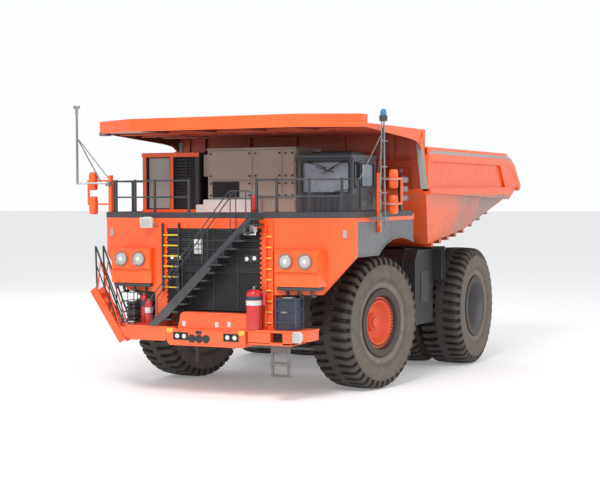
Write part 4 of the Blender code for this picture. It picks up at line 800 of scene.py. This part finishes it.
# The edge of the deck: a dark kick plate along its rim, and a seam below it
rim = [(DECK_HALF - 0.01, -2.2), (DECK_HALF - 0.01, DECK_CORNER_Y), (DECK_FLAT_HALF, DECK_FRONT_Y + 0.01),
       (-DECK_FLAT_HALF, DECK_FRONT_Y + 0.01), (-DECK_HALF + 0.01, DECK_CORNER_Y), (-DECK_HALF + 0.01, -2.2)]
kick = carried([(-0.012, -0.06), (0.012, -0.06), (0.012, 0.10), (-0.012, 0.10)],
               [(x, y, DECK_TOP) for x, y in rim])
put("deck_kick_plate", [kick], dark_paint)

# Recess and step in the left platform; the recess's back is a black plate, which is painted shade
put("platform_recess_shade", [slab((1.90, -7.45, 1.62), (2.30, -7.40, 1.90), 0.01)], seal_rubber)
put("platform_lips", [carried([(-0.012, -0.02), (0.012, -0.02), (0.012, 0.02), (-0.012, 0.02)],
                              [(s * 1.22, -7.665, 1.945), (s * 2.54, -7.665, 1.945), (s * 2.895, -7.205, 1.945),
                               (s * 2.895, -6.66, 1.945)])
                      for s in (1, -1)], orange_paint)


# ---------------------------------------------------------------- bottles and boxes on the platforms

def bottle_shells(x, y, z, radius, height):
    """A pressure bottle: a turned wall with a domed shoulder, its valve, lever and gauge."""
    t = np.linspace(0, np.pi / 2, 7)
    top = height * 0.80
    dome = np.stack([top + (height * 0.12) * np.sin(t), radius * (0.22 + 0.78 * np.cos(t))], -1)
    wall = [(0.0, radius * 0.9), (0.02, radius), (top, radius)]
    body = turned(wall + [tuple(p) for p in dome[1:]], (x, y, z), (0, 0, 1), 32)
    valve = turned([(height * 0.90, 0.035), (height * 0.97, 0.035), (height * 0.99, 0.02)], (x, y, z),
                   (0, 0, 1), 12)
    lever = pipe([(x - 0.01, y, z + height * 0.97), (x + 0.09, y - 0.02, z + height * 0.995)], 0.012)
    gauge = turned([(0, 0.02), (0.015, 0.022), (0.02, 0.01)], (x, y - 0.035, z + height * 0.94), (0, -1, 0), 12)
    return body, [valve, lever, gauge]


def band(x, y, z, radius, height):
    """A label sleeve round a bottle."""
    return turned([(0, radius + 0.001), (0, radius + 0.004), (height, radius + 0.004),
                   (height, radius + 0.001)], (x, y, z), (0, 0, 1), 32, True)


BOTTLE_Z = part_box("large_extinguisher")[0].z
large, fittings = bottle_shells(1.38, -7.52, BOTTLE_Z, 0.215, 1.18)
put("large_bottle", [large], red_paint, replaces=["large_extinguisher"])
first, more = bottle_shells(-2.05, -7.30, BOTTLE_Z + 0.03, 0.11, 0.70)
second, most = bottle_shells(-2.32, -7.10, BOTTLE_Z + 0.03, 0.10, 0.86)
put("small_bottles", [first, second, slab((-2.46, -7.44, BOTTLE_Z), (-1.92, -6.96, BOTTLE_Z + 0.04))],
    red_paint,
    replaces=["small_extinguishers"])
deck_bottle, deck_fittings = bottle_shells(1.10, -6.95, DECK_TOP, 0.085, 0.62)
side_bottle, side_fittings = bottle_shells(1.665, -7.47, 2.62, 0.055, 0.36)
put("deck_bottle", [deck_bottle, side_bottle], red_paint)
put("bottle_valves", fittings + more + most + deck_fittings + side_fittings, bare_steel)
put("bottle_bands_white", [band(1.38, -7.52, BOTTLE_Z + 0.66, 0.215, 0.13),
                           band(-2.05, -7.30, BOTTLE_Z + 0.33, 0.11, 0.15)], white_paint)
put("bottle_bands_blue", [band(1.38, -7.52, BOTTLE_Z + 0.80, 0.215, 0.10),
                          band(-2.32, -7.10, BOTTLE_Z + 0.50, 0.10, 0.16)], blue_paint)

cage = []
for z in np.linspace(BOTTLE_Z + 0.06, BOTTLE_Z + 0.82, 7):
    cage.append(carried(circle(0.007, 6), [(1.975, -7.42, z), (2.565, -7.42, z), (2.565, -6.945, z),
                                           (1.975, -6.945, z)], ring=True))
for x in np.linspace(1.975, 2.565, 7):
    cage.append(pipe([(x, -7.42, BOTTLE_Z), (x, -7.42, BOTTLE_Z + 0.84)], 0.006, sides=6))
put("box_wire_guard", cage, dark_paint)
put("box_fittings", [slab((2.12, -7.405, BOTTLE_Z + 0.45), (2.30, -7.38, BOTTLE_Z + 0.52)),
                     slab((2.10, -7.30, BOTTLE_Z + 0.80), (2.40, -7.06, BOTTLE_Z + 0.87), 0.02)], pale_paint)

rack = []
for z in (2.02, 2.30, 2.60, 2.86):
    rack.append(carried(circle(0.014, 6), [(-2.86, -7.42, z), (-2.40, -7.52, z), (-2.40, -7.14, z),
                                           (-2.86, -6.78, z)], ring=True))
for x, y in ((-2.86, -7.42), (-2.63, -7.47), (-2.40, -7.52), (-2.40, -7.14), (-2.86, -6.78), (-2.63, -6.96)):
    rack.append(pipe([(x, y, 1.96), (x, y, 2.87)], 0.014, sides=6))
put("platform_cage", rack, dark_paint)
coil_turn = np.linspace(0, 2 * np.pi * 5, 90)
coil = np.stack([-2.63 + 0.15 * np.cos(coil_turn), -7.18 + 0.15 * np.sin(coil_turn),
                 2.02 + 0.11 * coil_turn / (2 * np.pi)], -1)
put("stored_chain_coil", [pipe(coil, 0.05)], tread_black)


# ---------------------------------------------------------------- boarding stair

def stair_rails():
    """Long triangular handrails at both sides of the folded stair, each with a bar across."""
    shells = []
    for y in (-7.12, -6.73):
        apex, foot, heel = (-3.92, y, 4.14), (-3.02, y, 1.97), (-3.88, y, 2.92)
        shells.append(pipe([foot, apex, heel], 0.026, 0.06))
        shells.append(pipe([(-3.22, y, 2.00), (-3.90, y, 3.58)], 0.018))
        shells.append(pipe([(-3.47, y, 2.30), (-3.47, y, 3.05)], 0.018))
    return shells


put("boarding_stair_rails", stair_rails(), tread_black, "stair")


# ---------------------------------------------------------------- cab

X0, X1, Y0, Y1, Z0, Z1 = 1.66, 3.32, -5.30, -3.60, DECK_TOP, 6.62          # the cab's walls, floor and roof


def window_seal(low, high, axis, at):
    """The seal of an upright window that spans low to high across its plane at a distance along the axis."""
    (a0, z0), (a1, z1) = low, high
    corners = [(a0, z0), (a1, z0), (a1, z1), (a0, z1)]
    spots = [(at, a, z) if axis == 0 else (a, at, z) for a, z in corners]
    line = rounded(np.array(spots + spots[:2]), 0.09, 6)[1:-1]
    grow = np.array([(at, (a0 + a1) / 2, (z0 + z1) / 2)] if axis == 0 else [((a0 + a1) / 2, at, (z0 + z1) / 2)])
    out = np.eye(3)[axis] * 0.012
    inner = line + unit(grow - line) * 0.045
    grid = np.stack([line - out, line + out, inner + out, inner - out], 1)
    return wrapped(grid, ring=True)


seals = [window_seal((X0 + 0.09, Z0 + 0.61), (X1 - 0.09, Z1 - 0.13), 1, Y0 - 0.008),
         window_seal((Y0 + 0.13, Z0 + 0.74), (Y1 - 0.29, Z1 - 0.13), 0, X0 - 0.008),
         window_seal((X0 + 0.19, Z0 + 0.89), (X1 - 0.19, Z1 - 0.19), 1, Y1 + 0.008),
         window_seal((Y0 + 0.11, Z0 + 0.74), (Y0 + 0.43, Z1 - 0.13), 0, X1 + 0.008)]
put("cab_window_seals", seals, seal_rubber)
put("cab_door_seal", [window_seal((Y0 + 0.57, Z0 + 0.77), (Y1 - 0.21, Z1 - 0.17), 0, X1 + 0.020)], seal_rubber,
    "door")
put("cab_door_pane", [slab((X1 - 0.025, Y0 + 0.585, Z0 + 0.785), (X1 - 0.010, Y1 - 0.225, Z1 - 0.185), 0.003)],
    cab_glazing, "door")
put("cab_door_handle", [pipe([(X1 + 0.012, -4.05, 5.60), (X1 + 0.06, -4.05, 5.60), (X1 + 0.06, -4.05, 5.35),
                              (X1 + 0.012, -4.05, 5.35)], 0.014, 0.02)],
    tread_black, "door")
put("cab_rear_pane", [slab((X0 + 0.21, Y1 - 0.05, Z0 + 0.91), (X1 - 0.21, Y1 - 0.03, Z1 - 0.21), 0.003)],
    cab_glazing)

wipers = []
for x0, z0, x1, z1 in ((2.00, 6.47, 2.52, 6.30), (3.05, 6.47, 2.62, 6.28), (2.50, 5.56, 3.02, 5.70)):
    middle = ((x0 + x1) / 2, (z0 + z1) / 2 - 0.05)
    wipers.append(pipe([(x0, Y0 - 0.04, z0), (x1, Y0 - 0.035, z1)], 0.012, sides=6))
    wipers.append(pipe([(middle[0] - 0.05, Y0 - 0.03, middle[1]), (2 * x1 - middle[0], Y0 - 0.03,
                                                                   z1 * 2 - middle[1] - 0.08)], 0.012, sides=6))
    wipers.append(slab((x0 - 0.04, Y0 - 0.06, z0 - 0.03), (x0 + 0.04, Y0 + 0.001, z0 + 0.03)))
put("wipers", wipers, seal_rubber)

ribs = [repeated(slab((0, Y0 - 0.02, Z0 + 0.08), (0.035, Y0 + 0.005, Z0 + 0.50), 0.006),
                 spaced((X0 + 0.12, 0, 0), (X1 - 0.15, 0, 0), 9)),
        slab((X0 + 0.02, Y0 - 0.05, Z0 + 0.51), (X1 - 0.02, Y0 + 0.005, Z0 + 0.56)),
        slab((X0 + 0.02, Y0 - 0.03, Z0 + 0.01), (X1 - 0.02, Y0 + 0.005, Z0 + 0.07)),
        slab((X0 - 0.02, Y0 - 0.24, Z1 - 0.10), (X1 + 0.02, Y0 - 0.10, Z1 - 0.06), 0.01),
        repeated(slab((X1 - 0.004, 0, Z0 + 0.05), (X1 + 0.012, 0.03, Z0 + 0.60), 0.004),
                 spaced((0, Y0 + 0.06, 0), (0, Y0 + 0.40, 0), 4)),
        slab((X0 + 0.20, -4.90, Z1 + 0.045), (X1 - 0.20, -3.90, Z1 + 0.16), 0.04)]
put("cab_ribs_and_visor", ribs, cab_paint)

wheel_turn = np.linspace(0, 2 * np.pi, 33)[:-1]
wheel_centre = np.array((2.46, -4.72, 5.72))
wheel_rim = wheel_centre + 0.20 * (np.cos(wheel_turn)[:, None] * np.array((1, 0, 0)) + np.sin(wheel_turn)[:,
        None] * np.array((0, 0.5, 0.866)))
put("steering_wheel", [carried(circle(0.016, 8), wheel_rim, ring=True),
                       pipe([(2.46, -4.72, 5.72), (2.46, -5.0, 5.50)], 0.035),
                       pipe([(2.27, -4.72, 5.72), (2.65, -4.72, 5.72)], 0.014)], seal_rubber)


def cushion(low, high, crown):
    """A padded block: each point of a rounded box is pushed out by crown * (1 - u^2)(1 - v^2) on its top."""
    low, high = np.array(low, float), np.array(high, float)
    u = np.linspace(-1, 1, 13)
    t = np.linspace(0, 2 * np.pi, 49)[:-1]
    square = np.stack([np.sign(np.cos(t)) * np.abs(np.cos(t)) ** 0.35,
                       np.sign(np.sin(t)) * np.abs(np.sin(t)) ** 0.35], -1)
    size = (1 - np.abs(u) ** 6 * 0.35)[:, None, None] * square[None]
    middle, half = (low + high) / 2, (high - low) / 2
    bulge = crown * (1 - u ** 2)[:, None] * np.clip(square[None, :, 1], 0, 1)
    grid = np.stack([np.broadcast_to(u[:, None] * half[0], size.shape[:2]), size[:, :, 0] * half[1],
                     size[:, :, 1] * half[2] + bulge], -1)
    return wrapped(grid + middle)


seat = put("seat_cushion", [cushion((2.20, -4.38, 5.50), (2.72, -3.92, 5.62), 0.04)], seal_rubber)
back = put("seat_back",
           [moved(cushion((-0.26, -0.32, -0.06), (0.26, 0.32, 0.06), 0.03),
                  Matrix.Translation((2.46, -4.03, 5.88)) @ Matrix.Rotation(math.radians(80), 4, "X"))],
           seal_rubber)


# ---------------------------------------------------------------- boxes on the deck

panels, knobs = [], []
CABINET_Y = -5.0
for x0, x1 in ((-1.36, 0.05), (0.11, 1.01), (1.07, 1.42)):
    panels.append(slab((x0, CABINET_Y - 0.03, 6.02), (x1, CABINET_Y + 0.005, 6.86), 0.012))
    panels.append(slab((x0, CABINET_Y - 0.03, 5.47), (x1, CABINET_Y + 0.005, 5.98), 0.012))
    knobs.append(repeated(turned([(0, 0.028), (0.03, 0.028), (0.035, 0.018)], (0, 0, 0), (0, -1, 0), 12),
                          [(x, CABINET_Y - 0.03, z) for x in (x0 + 0.07,
                                                              x1 - 0.07) for z in (6.12, 6.76, 5.56, 5.90)]))
panels += [slab((0.42, CABINET_Y - 0.03, 5.08), (1.42, CABINET_Y + 0.005, 5.43), 0.012),
           slab((-1.42, CABINET_Y - 0.06, 6.88), (1.47, -3.28, 6.93), 0.012)]
for x in (-1.405, 1.455):
    s = 1 if x > 0 else -1
    for y0, y1 in ((-4.92, -4.15), (-4.09, -3.38)):
        panels.append(slab((x - s * 0.01, y0, 5.10), (x + s * 0.02, y1, 6.05 if x < 0 else 6.84), 0.01))
for x0, x1 in ((-1.34, -0.45), (-0.41, 0.48), (0.52, 1.39)):
    panels.append(slab((x0, -3.305, 5.12), (x1, -3.27, 6.82), 0.012))
put("cabinet_doors", panels, beige_paint)
put("cabinet_knobs", knobs, tread_black)
slat = plate([(0.0, 0.0), (-0.03, -0.035), (-0.03, -0.045), (0.0, -0.02)], -1.22, -0.37, 0)
vents = [repeated((slat[0] + (0, CABINET_Y - 0.03, 0), slat[1]), spaced((0, 0, 5.56), (0, 0, 5.94), 9)),
         slab((-1.24, CABINET_Y - 0.038, 5.50), (-0.35, CABINET_Y - 0.028, 5.96), 0.004)]
put("cabinet_louvres", vents, tread_black)
put("low_white_box", [slab((-1.32, -5.47, DECK_TOP + 0.02), (0.37, -5.0, 5.44), 0.02),
                      slab((-1.60, -5.40, DECK_TOP + 0.02), (-1.34, -5.0, 5.30), 0.02)]
    + [slab((x, -5.485, 5.08), (x + 0.78, -5.465, 5.38), 0.01) for x in (-1.28, -0.46)], white_paint)

posts = [slab((x - 0.055, y - 0.085, DECK_TOP), (x + 0.055, y + 0.085, 6.83),
              0.01) for x in (-3.53, -2.60) for y in (-4.98, -3.32)]
posts += [slab((-3.62, y - 0.04, 6.70), (-1.66, y + 0.04, 6.83),
               0.01) for y in (-5.04, -3.26)] + [slab((-3.62, y - 0.04, 5.06), (-1.66, y + 0.04, 5.16),
                                                      0.01) for y in (-5.04, -3.26)]
put("grid_box_frame", posts, orange_paint)
put("grid_box_panel", [slab((-3.44, -4.96, 5.18), (-2.69, -4.92, 6.68), 0.015),
                       slab((-3.44, -3.385, 5.18), (-2.69, -3.345, 6.68), 0.015),
                       slab((-3.50, -4.88, 5.18), (-3.465, -3.42, 6.68), 0.015)], pale_paint)
louvre = plate([(0.0, 0.0), (-0.05, -0.05), (-0.05, -0.065), (0.0, -0.03)], -2.50, -1.80, 0)
stack = [repeated((louvre[0] + (0, -4.94, 0), louvre[1]), spaced((0, 0, 5.26), (0, 0, 6.68), 17))]
stack.append(moved(stack[0], Matrix.Translation((-4.30, -8.30, 0)) @ Matrix.Rotation(math.pi, 4, "Z")))
stack += [slab((x - 0.02, -4.985, 5.18), (x + 0.02, -4.93, 6.70), 0.006) for x in (-2.49, -2.15, -1.81)]
put("grid_box_louvres", stack, tread_black)


# ---------------------------------------------------------------- mirrors and masts

faces_back, backs, guards = [], [], []
for side in ("left", "right"):
    low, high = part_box(side + "_mirror_bracket")
    far = high.x if side == "left" else low.x
    s = 1 if side == "left" else -1
    y = -4.95 if side == "left" else -6.53
    for z in (5.74, 5.04):
        x0, x1 = far - s * 0.34, far - s * 0.14
        faces_back.append(slab((x0 + s * 0.015, y - 0.012, z + 0.02), (x1 - s * 0.015, y - 0.004, z + 0.48),
                               0.003))
        t = np.linspace(0, 2 * np.pi, 33)[:-1]
        shape = np.stack([np.sign(np.cos(t)) * np.abs(np.cos(t)) ** 0.4,
                          np.sign(np.sin(t)) * np.abs(np.sin(t)) ** 0.4], -1)
        centre = np.array(((x0 + x1) / 2, y - 0.13, z + 0.25))
        rings = [centre + np.stack([shape[:, 0] * 0.11 * k, np.full(32, d), shape[:, 1] * 0.26 * k], -1)
                 for k, d in ((1.0, 0.125), (1.03, 0.06), (1.0, 0.0), (0.85, -0.035), (0.55, -0.05))]
        backs.append(wrapped(np.array(rings)))
    if side == "left":
        for z in (5.30, 5.98):
            guards.append(pipe([(far - 0.02, y - 0.02, z), (far - 0.02, y - 0.24, z), (far - 0.42, y - 0.24, z),
                                (far - 0.42, y - 0.02, z)], 0.014, 0.06))
put("mirror_faces", faces_back, mirror_glass)
put("mirror_backs", backs, orange_paint)
put("mirror_guards", guards, pale_paint)

beacon = turned([(0.0, 0.085), (0.02, 0.09), (0.10, 0.088), (0.15, 0.07), (0.175, 0.04), (0.18, 0.01)],
                (4.29, -5.45, 7.705), (0, 0, 1), 24)
put("blue_beacon", [beacon], blue_lens)
mast = []
for h0, h1 in zip((4.95, 5.6, 6.3, 7.0), (5.6, 6.3, 7.0, 7.5)):
    g0, g1 = [1 - 0.6 * (h - 4.7) / 2.92 for h in (h0, h1)]
    for (a, b), (c, d) in (((-0.08, -0.08), (0.08, -0.08)), ((0.08, -0.08), (0.0, 0.1)),
                           ((0.0, 0.1), (-0.08, -0.08))):
        mast.append(pipe([(4.29 + a * g0, -5.45 + b * g0, h0), (4.29 + c * g1, -5.45 + d * g1, h1)], 0.010,
                         sides=6))
mast.append(turned([(0, 0.05), (0.0, 0.11), (0.14, 0.115), (0.15, 0.05)], (4.29, -5.45, 7.56), (0, 0, 1), 24))
put("lamp_mast_lattice", mast, dark_paint)
put("mast_stays", [pipe([(-4.60, -7.0, 7.9), (-4.60, -7.0, 8.14)], 0.045),
                   pipe([(-4.60, -7.0, 7.25), (-3.86, -6.4, 6.00)], 0.014, sides=6),
                   pipe([(4.29, -5.45, 7.3), (3.86, -6.10, 5.98)], 0.012,
                        sides=6), pipe([(4.29, -5.45, 7.3), (3.90, -4.90, 6.16)], 0.012, sides=6)], bare_steel)

work = [pipe([(3.86, -3.0, DECK_TOP), (3.86, -3.0, 6.30)], 0.03),
        slab((3.78, -3.08, DECK_TOP), (3.94, -2.92, DECK_TOP + 0.03))]
lenses = []
for z in (5.46, 5.72, 5.98):
    case, lens = flood_lamp(3.98, -3.05, z, 0.0, 0.6)
    work += case
    lenses += lens
put("side_work_lamps", work, grey_paint)
put("side_work_lenses", lenses, lamp_lens)
put("lamp_conduits", [pipe([(3.90, -3.02, 6.2), (3.80, -3.10, 5.9), (3.83, -3.12, 5.4), (3.86, -3.06, 5.02)],
                           0.02, 0.08),
                      pipe([(3.84, -2.95, 6.1), (3.76, -2.9, 5.7), (3.80, -2.92, 5.02)], 0.025,
                           0.08)], seal_rubber)


# ---------------------------------------------------------------- tipping body

cheek = [(-6.40, 7.372), (-2.95, 7.17), (-2.45, 7.11), (-2.20, 7.00), (-2.06, 6.85), (-2.02, 6.70),
         (-1.74, 6.70), (-1.74, 7.465), (-6.40, 7.465)]
put("canopy_cheeks", both([plate(cheek, CANOPY_HALF - 0.035, CANOPY_HALF + 0.006, 0)]), body_paint, "dump")
put("corner_strips", both([plate([(3.95, 7.24), (4.15, 7.24), (4.33, 5.72), (4.12, 5.72)], -2.075, -2.035, 1)]),
    pale_paint, "dump")
corner_post = [(3.68, 7.30), (4.16, 7.42), (4.20, 7.20), (4.35, 5.66), (3.84, 5.66)]
rear_post = [(5.10, 6.58), (6.10, 6.58), (6.80, 6.45), (7.52, 5.92), (6.60, 5.74), (5.80, 5.74)]
front_post = [(-2.03, 5.62), (-2.03, 6.93), (-1.64, 6.93), (-1.64, 5.62)]
shelf = [(-2.03, 5.60), (-2.03, 5.74), (6.25, 5.80), (6.62, 5.72), (5.90, 5.38), (0.40, 5.54)]
put("body_side_posts", both([plate(corner_post, -2.04, -1.97, 1),
                             plate(rear_post, BODY_HALF - 0.05, BODY_HALF + 0.08, 0),
                             plate(front_post, BODY_HALF - 0.08, BODY_HALF + 0.08,
                                   0), plate(shelf, BODY_HALF - 0.08, BODY_HALF + 0.16, 0)]),
    body_paint, "dump")
rail_way = [(BODY_HALF, y, z) for y, z in ((-2.02, 6.95), (0.7, 6.95), (3.4, 6.95), (6.05, 6.95), (6.80, 6.76),
                                           (7.66, 6.00))]
put("body_rails", both([carried([(-0.15, -0.42), (0.08, -0.42), (0.10, -0.40), (0.10, -0.18), (-0.03, 0.02),
                                 (-0.15, 0.02)], rail_way)]),
    body_paint, "dump")
# A pale strip on the rails' sloping tops: painted highlight.
put("rail_cap_highlights", both([carried([(0.103, -0.18), (-0.02, 0.012), (-0.04, 0.0), (0.08, -0.19)], rail_way)]),
    pale_paint, "dump")

beams = []
for y in np.linspace(0.55, 5.05, 8):
    z = float(np.interp(y, (-0.05, 2.95, 5.76), (4.03, 4.43, 5.28)))
    wide = float(np.interp(y, (-0.05, 2.95, 5.76), (3.50, 3.66, 3.95)))
    slope = 0.135 if y < 2.95 else 0.30
    line = [(y - 0.11, z + 0.03 - slope * 0.11), (y - 0.08, z - 0.19), (y + 0.08, z - 0.19),
            (y + 0.11, z + 0.03 + slope * 0.11)]
    inner_end = 1.42 if y < 1.6 else 0.94          # the first beams leave room for the hoists
    beams += both([plate(line, inner_end, wide, 0)])
    beams.append(plate(line, -0.61, 0.61, 0))
put("body_floor_beams", beams, body_paint, "dump")
wall_ribs = [plate([(x - 0.08, 5.9), (x + 0.08, 5.9), (x + 0.08, 7.36), (x - 0.08, 7.36)], -2.07, -1.975,
                   1) for x in (-3.2, -1.6, 0.0, 1.6, 3.2)]
wall_ribs.append(slab((-4.05, -2.06, 6.40), (4.05, -1.975, 6.56)))
put("headboard_ribs", wall_ribs, body_paint, "dump")
canopy_ribs = [slab((-CANOPY_HALF + 0.12, y - 0.05, CANOPY_LOW_Z - 0.03),
                    (CANOPY_HALF - 0.12, y + 0.05, CANOPY_LOW_Z + 0.09)) for y in (-5.6, -4.4, -3.2)]
put("canopy_cross_ribs", canopy_ribs, body_paint, "dump")
put("canopy_lip_block", [slab((-4.12, -6.60, 7.30), (-3.86, -6.30, 7.40), 0.02)], grey_paint, "dump")


# ---------------------------------------------------------------- sides, tanks and rear

straps = []
for s, node in ((1, "fuel_tank"), (-1, "oil_tank")):
    for x in (2.05, 3.05):
        line = [(x * s, -0.79, 1.60), (x * s, -0.79, 3.55), (x * s, -0.55, 3.862), (x * s, 0.81, 3.862),
                (x * s, 0.81, 1.60)]
        straps.append(carried([(-0.045, -0.008), (0.045, -0.008), (0.045, 0.008), (-0.045, 0.008)], line))
    straps.append(turned([(0.0, 0.10), (0.05, 0.10), (0.06, 0.08), (0.07, 0.03)], (s * 2.6, 0.45, 3.85),
                         (0, 0, 1), 20))
    straps.append(slab((s * 3.452, -0.30, 2.2), (s * 3.47, 0.40, 3.2), 0.008))
put("tank_straps", straps, dark_paint)

flaps = [slab((s * 2.00, 0.86, 2.84), (s * 3.83, 0.90, 3.93), 0.008) for s in (1, -1)]
put("wheel_flaps", flaps, seal_rubber)
put("flap_hangers", [slab((s * 0.98, 0.83, 3.80), (s * 3.85, 0.93, 3.90)) for s in (1, -1)]
    + [slab((s * x, 0.845, 2.90), (s * (x + 0.06), 0.915,
                                   3.85)) for s in (1, -1) for x in (2.1, 2.9, 3.7)], dark_paint)
edge = [(-6.32, 3.90), (-4.85, 3.90), (-4.62, 4.04), (-4.25, 4.20), (-3.75, 4.31), (-3.15, 4.34), (-2.60, 4.29),
        (-2.10, 4.18)]
put("arch_lips", both([carried([(-0.02, -0.02), (0.02, -0.02), (0.02, 0.02), (-0.02, 0.02)],
                               [(DECK_HALF - 0.02, y, z) for y, z in edge])]), grey_paint)

tail = []
lenses = []
for s in (1, -1):
    tail.append(slab((s * 0.62, 5.252, 2.84), (s * 0.93, 5.33, 3.06), 0.015))
    for x in (0.70, 0.85):
        lenses.append(turned([(0.0, 0.01), (0.0, 0.055), (0.02, 0.05), (0.03, 0.02)], (s * x, 5.33, 2.95),
                             (0, 1, 0), 20))
put("tail_lamp_boxes", tail, dark_paint)
put("tail_lamp_lenses", lenses, red_lens)

lines = []
for s in (1, -1):
    for k, z in enumerate((2.28, 2.36, 2.44)):
        lines.append(pipe([(s * 0.98, -5.6, z), (s * 0.98, -1.5, z), (s * 1.0, 0.1, z + 1.0),
                           (s * 1.0, 1.5, z + 1.06)], 0.022, 0.2, 6))
    lines.append(repeated(slab((s * 0.951, -0.05, 2.24), (s * 1.01, 0.05, 2.50), 0.006),
                          [(0, y, 0) for y in (-5.2, -4.6, -2.6, -1.9)]))
put("frame_pipes", lines, dark_paint)

strut_bands = []
for s in (1, -1):
    for z in (3.02, 3.98, 4.22):
        strut_bands.append(turned([(0, 0.255), (0, 0.285), (0.06, 0.285), (0.06, 0.255)], (s * 2.0, -3.52, z),
                                  (0, 0, 1), 32, True))
put("strut_bands", strut_bands, bare_steel)


# ---------------------------------------------------------------- floor, light and camera

floor_mesh = bpy.data.meshes.new("floor")
FLOOR_HALF = 400
floor_mesh.from_pydata([(x * FLOOR_HALF, y * FLOOR_HALF, 0) for x, y in ((-1, -1), (1, -1), (1, 1), (-1, 1))],
                       [], [(0, 1, 2, 3)])
floor = bpy.data.objects.new("floor", floor_mesh)
bpy.context.scene.collection.objects.link(floor)
floor_paint = bpy.data.materials.new("floor_paint")
floor_paint.use_nodes = True
for socket, value in (("Base Color", (0.86, 0.86, 0.86, 1)), ("Roughness", 0.9),
                      ("Emission Color", (1, 1, 1, 1)),
                      ("Emission Strength", 0.20), ("Specular IOR Level", 0.1)):
    floor_paint.node_tree.nodes["Principled BSDF"].inputs[socket].default_value = value
floor_mesh.materials.append(floor_paint)

world = bpy.data.worlds.new("studio")
bpy.context.scene.world = world
world.use_nodes = True
sky = world.node_tree
split = sky.nodes.new("ShaderNodeSeparateXYZ")
sky.links.new(step(sky, "TexCoord", output=0), split.inputs[0])
sky.links.new(ranged(sky, split.outputs[2], 0.15, 0.80, 1.0, 0.62), sky.nodes["Background"].inputs["Strength"])
sky.nodes["Background"].inputs["Color"].default_value = (0.97, 0.985, 1.0, 1)


def soft_light(name, place, target, size, power):
    """A square area light that looks at a point."""
    lamp = bpy.data.lights.new(name, "AREA")
    lamp.shape, lamp.size, lamp.energy = "SQUARE", size, power
    holder = bpy.data.objects.new(name, lamp)
    bpy.context.scene.collection.objects.link(holder)
    holder.location = place
    holder.rotation_euler = (Vector(target) - Vector(place)).to_track_quat("-Z", "Y").to_euler()


soft_light("key", (6, -34, 30), (0, -2, 3), 12, 9500)
soft_light("fill", (36, -4, 20), (0, 0, 3), 14, 2600)
soft_light("rim", (-24, 22, 24), (0, 0, 4), 14, 1500)

camera = bpy.data.cameras.new("camera")
camera.sensor_width, camera.lens = 36.0, 82.62
camera.clip_end = 2000
holder = bpy.data.objects.new("camera", camera)
bpy.context.scene.collection.objects.link(holder)
YAW, PITCH, ROLL = math.radians(25.29), math.radians(-2.27), math.radians(-0.28)
ahead = Vector((-math.sin(YAW) * math.cos(PITCH), math.cos(YAW) * math.cos(PITCH), math.sin(PITCH)))
level = Vector((math.cos(YAW), math.sin(YAW), 0))
basis = Matrix((level, level.cross(ahead), -ahead)).transposed() @ Matrix.Rotation(ROLL, 3, "Z")
holder.matrix_world = Matrix.Translation((18.23, -40.285, 5.55)) @ basis.to_4x4()
bpy.context.scene.camera = holder
bpy.context.scene.view_settings.view_transform = "Standard"

bpy.context.view_layer.update()
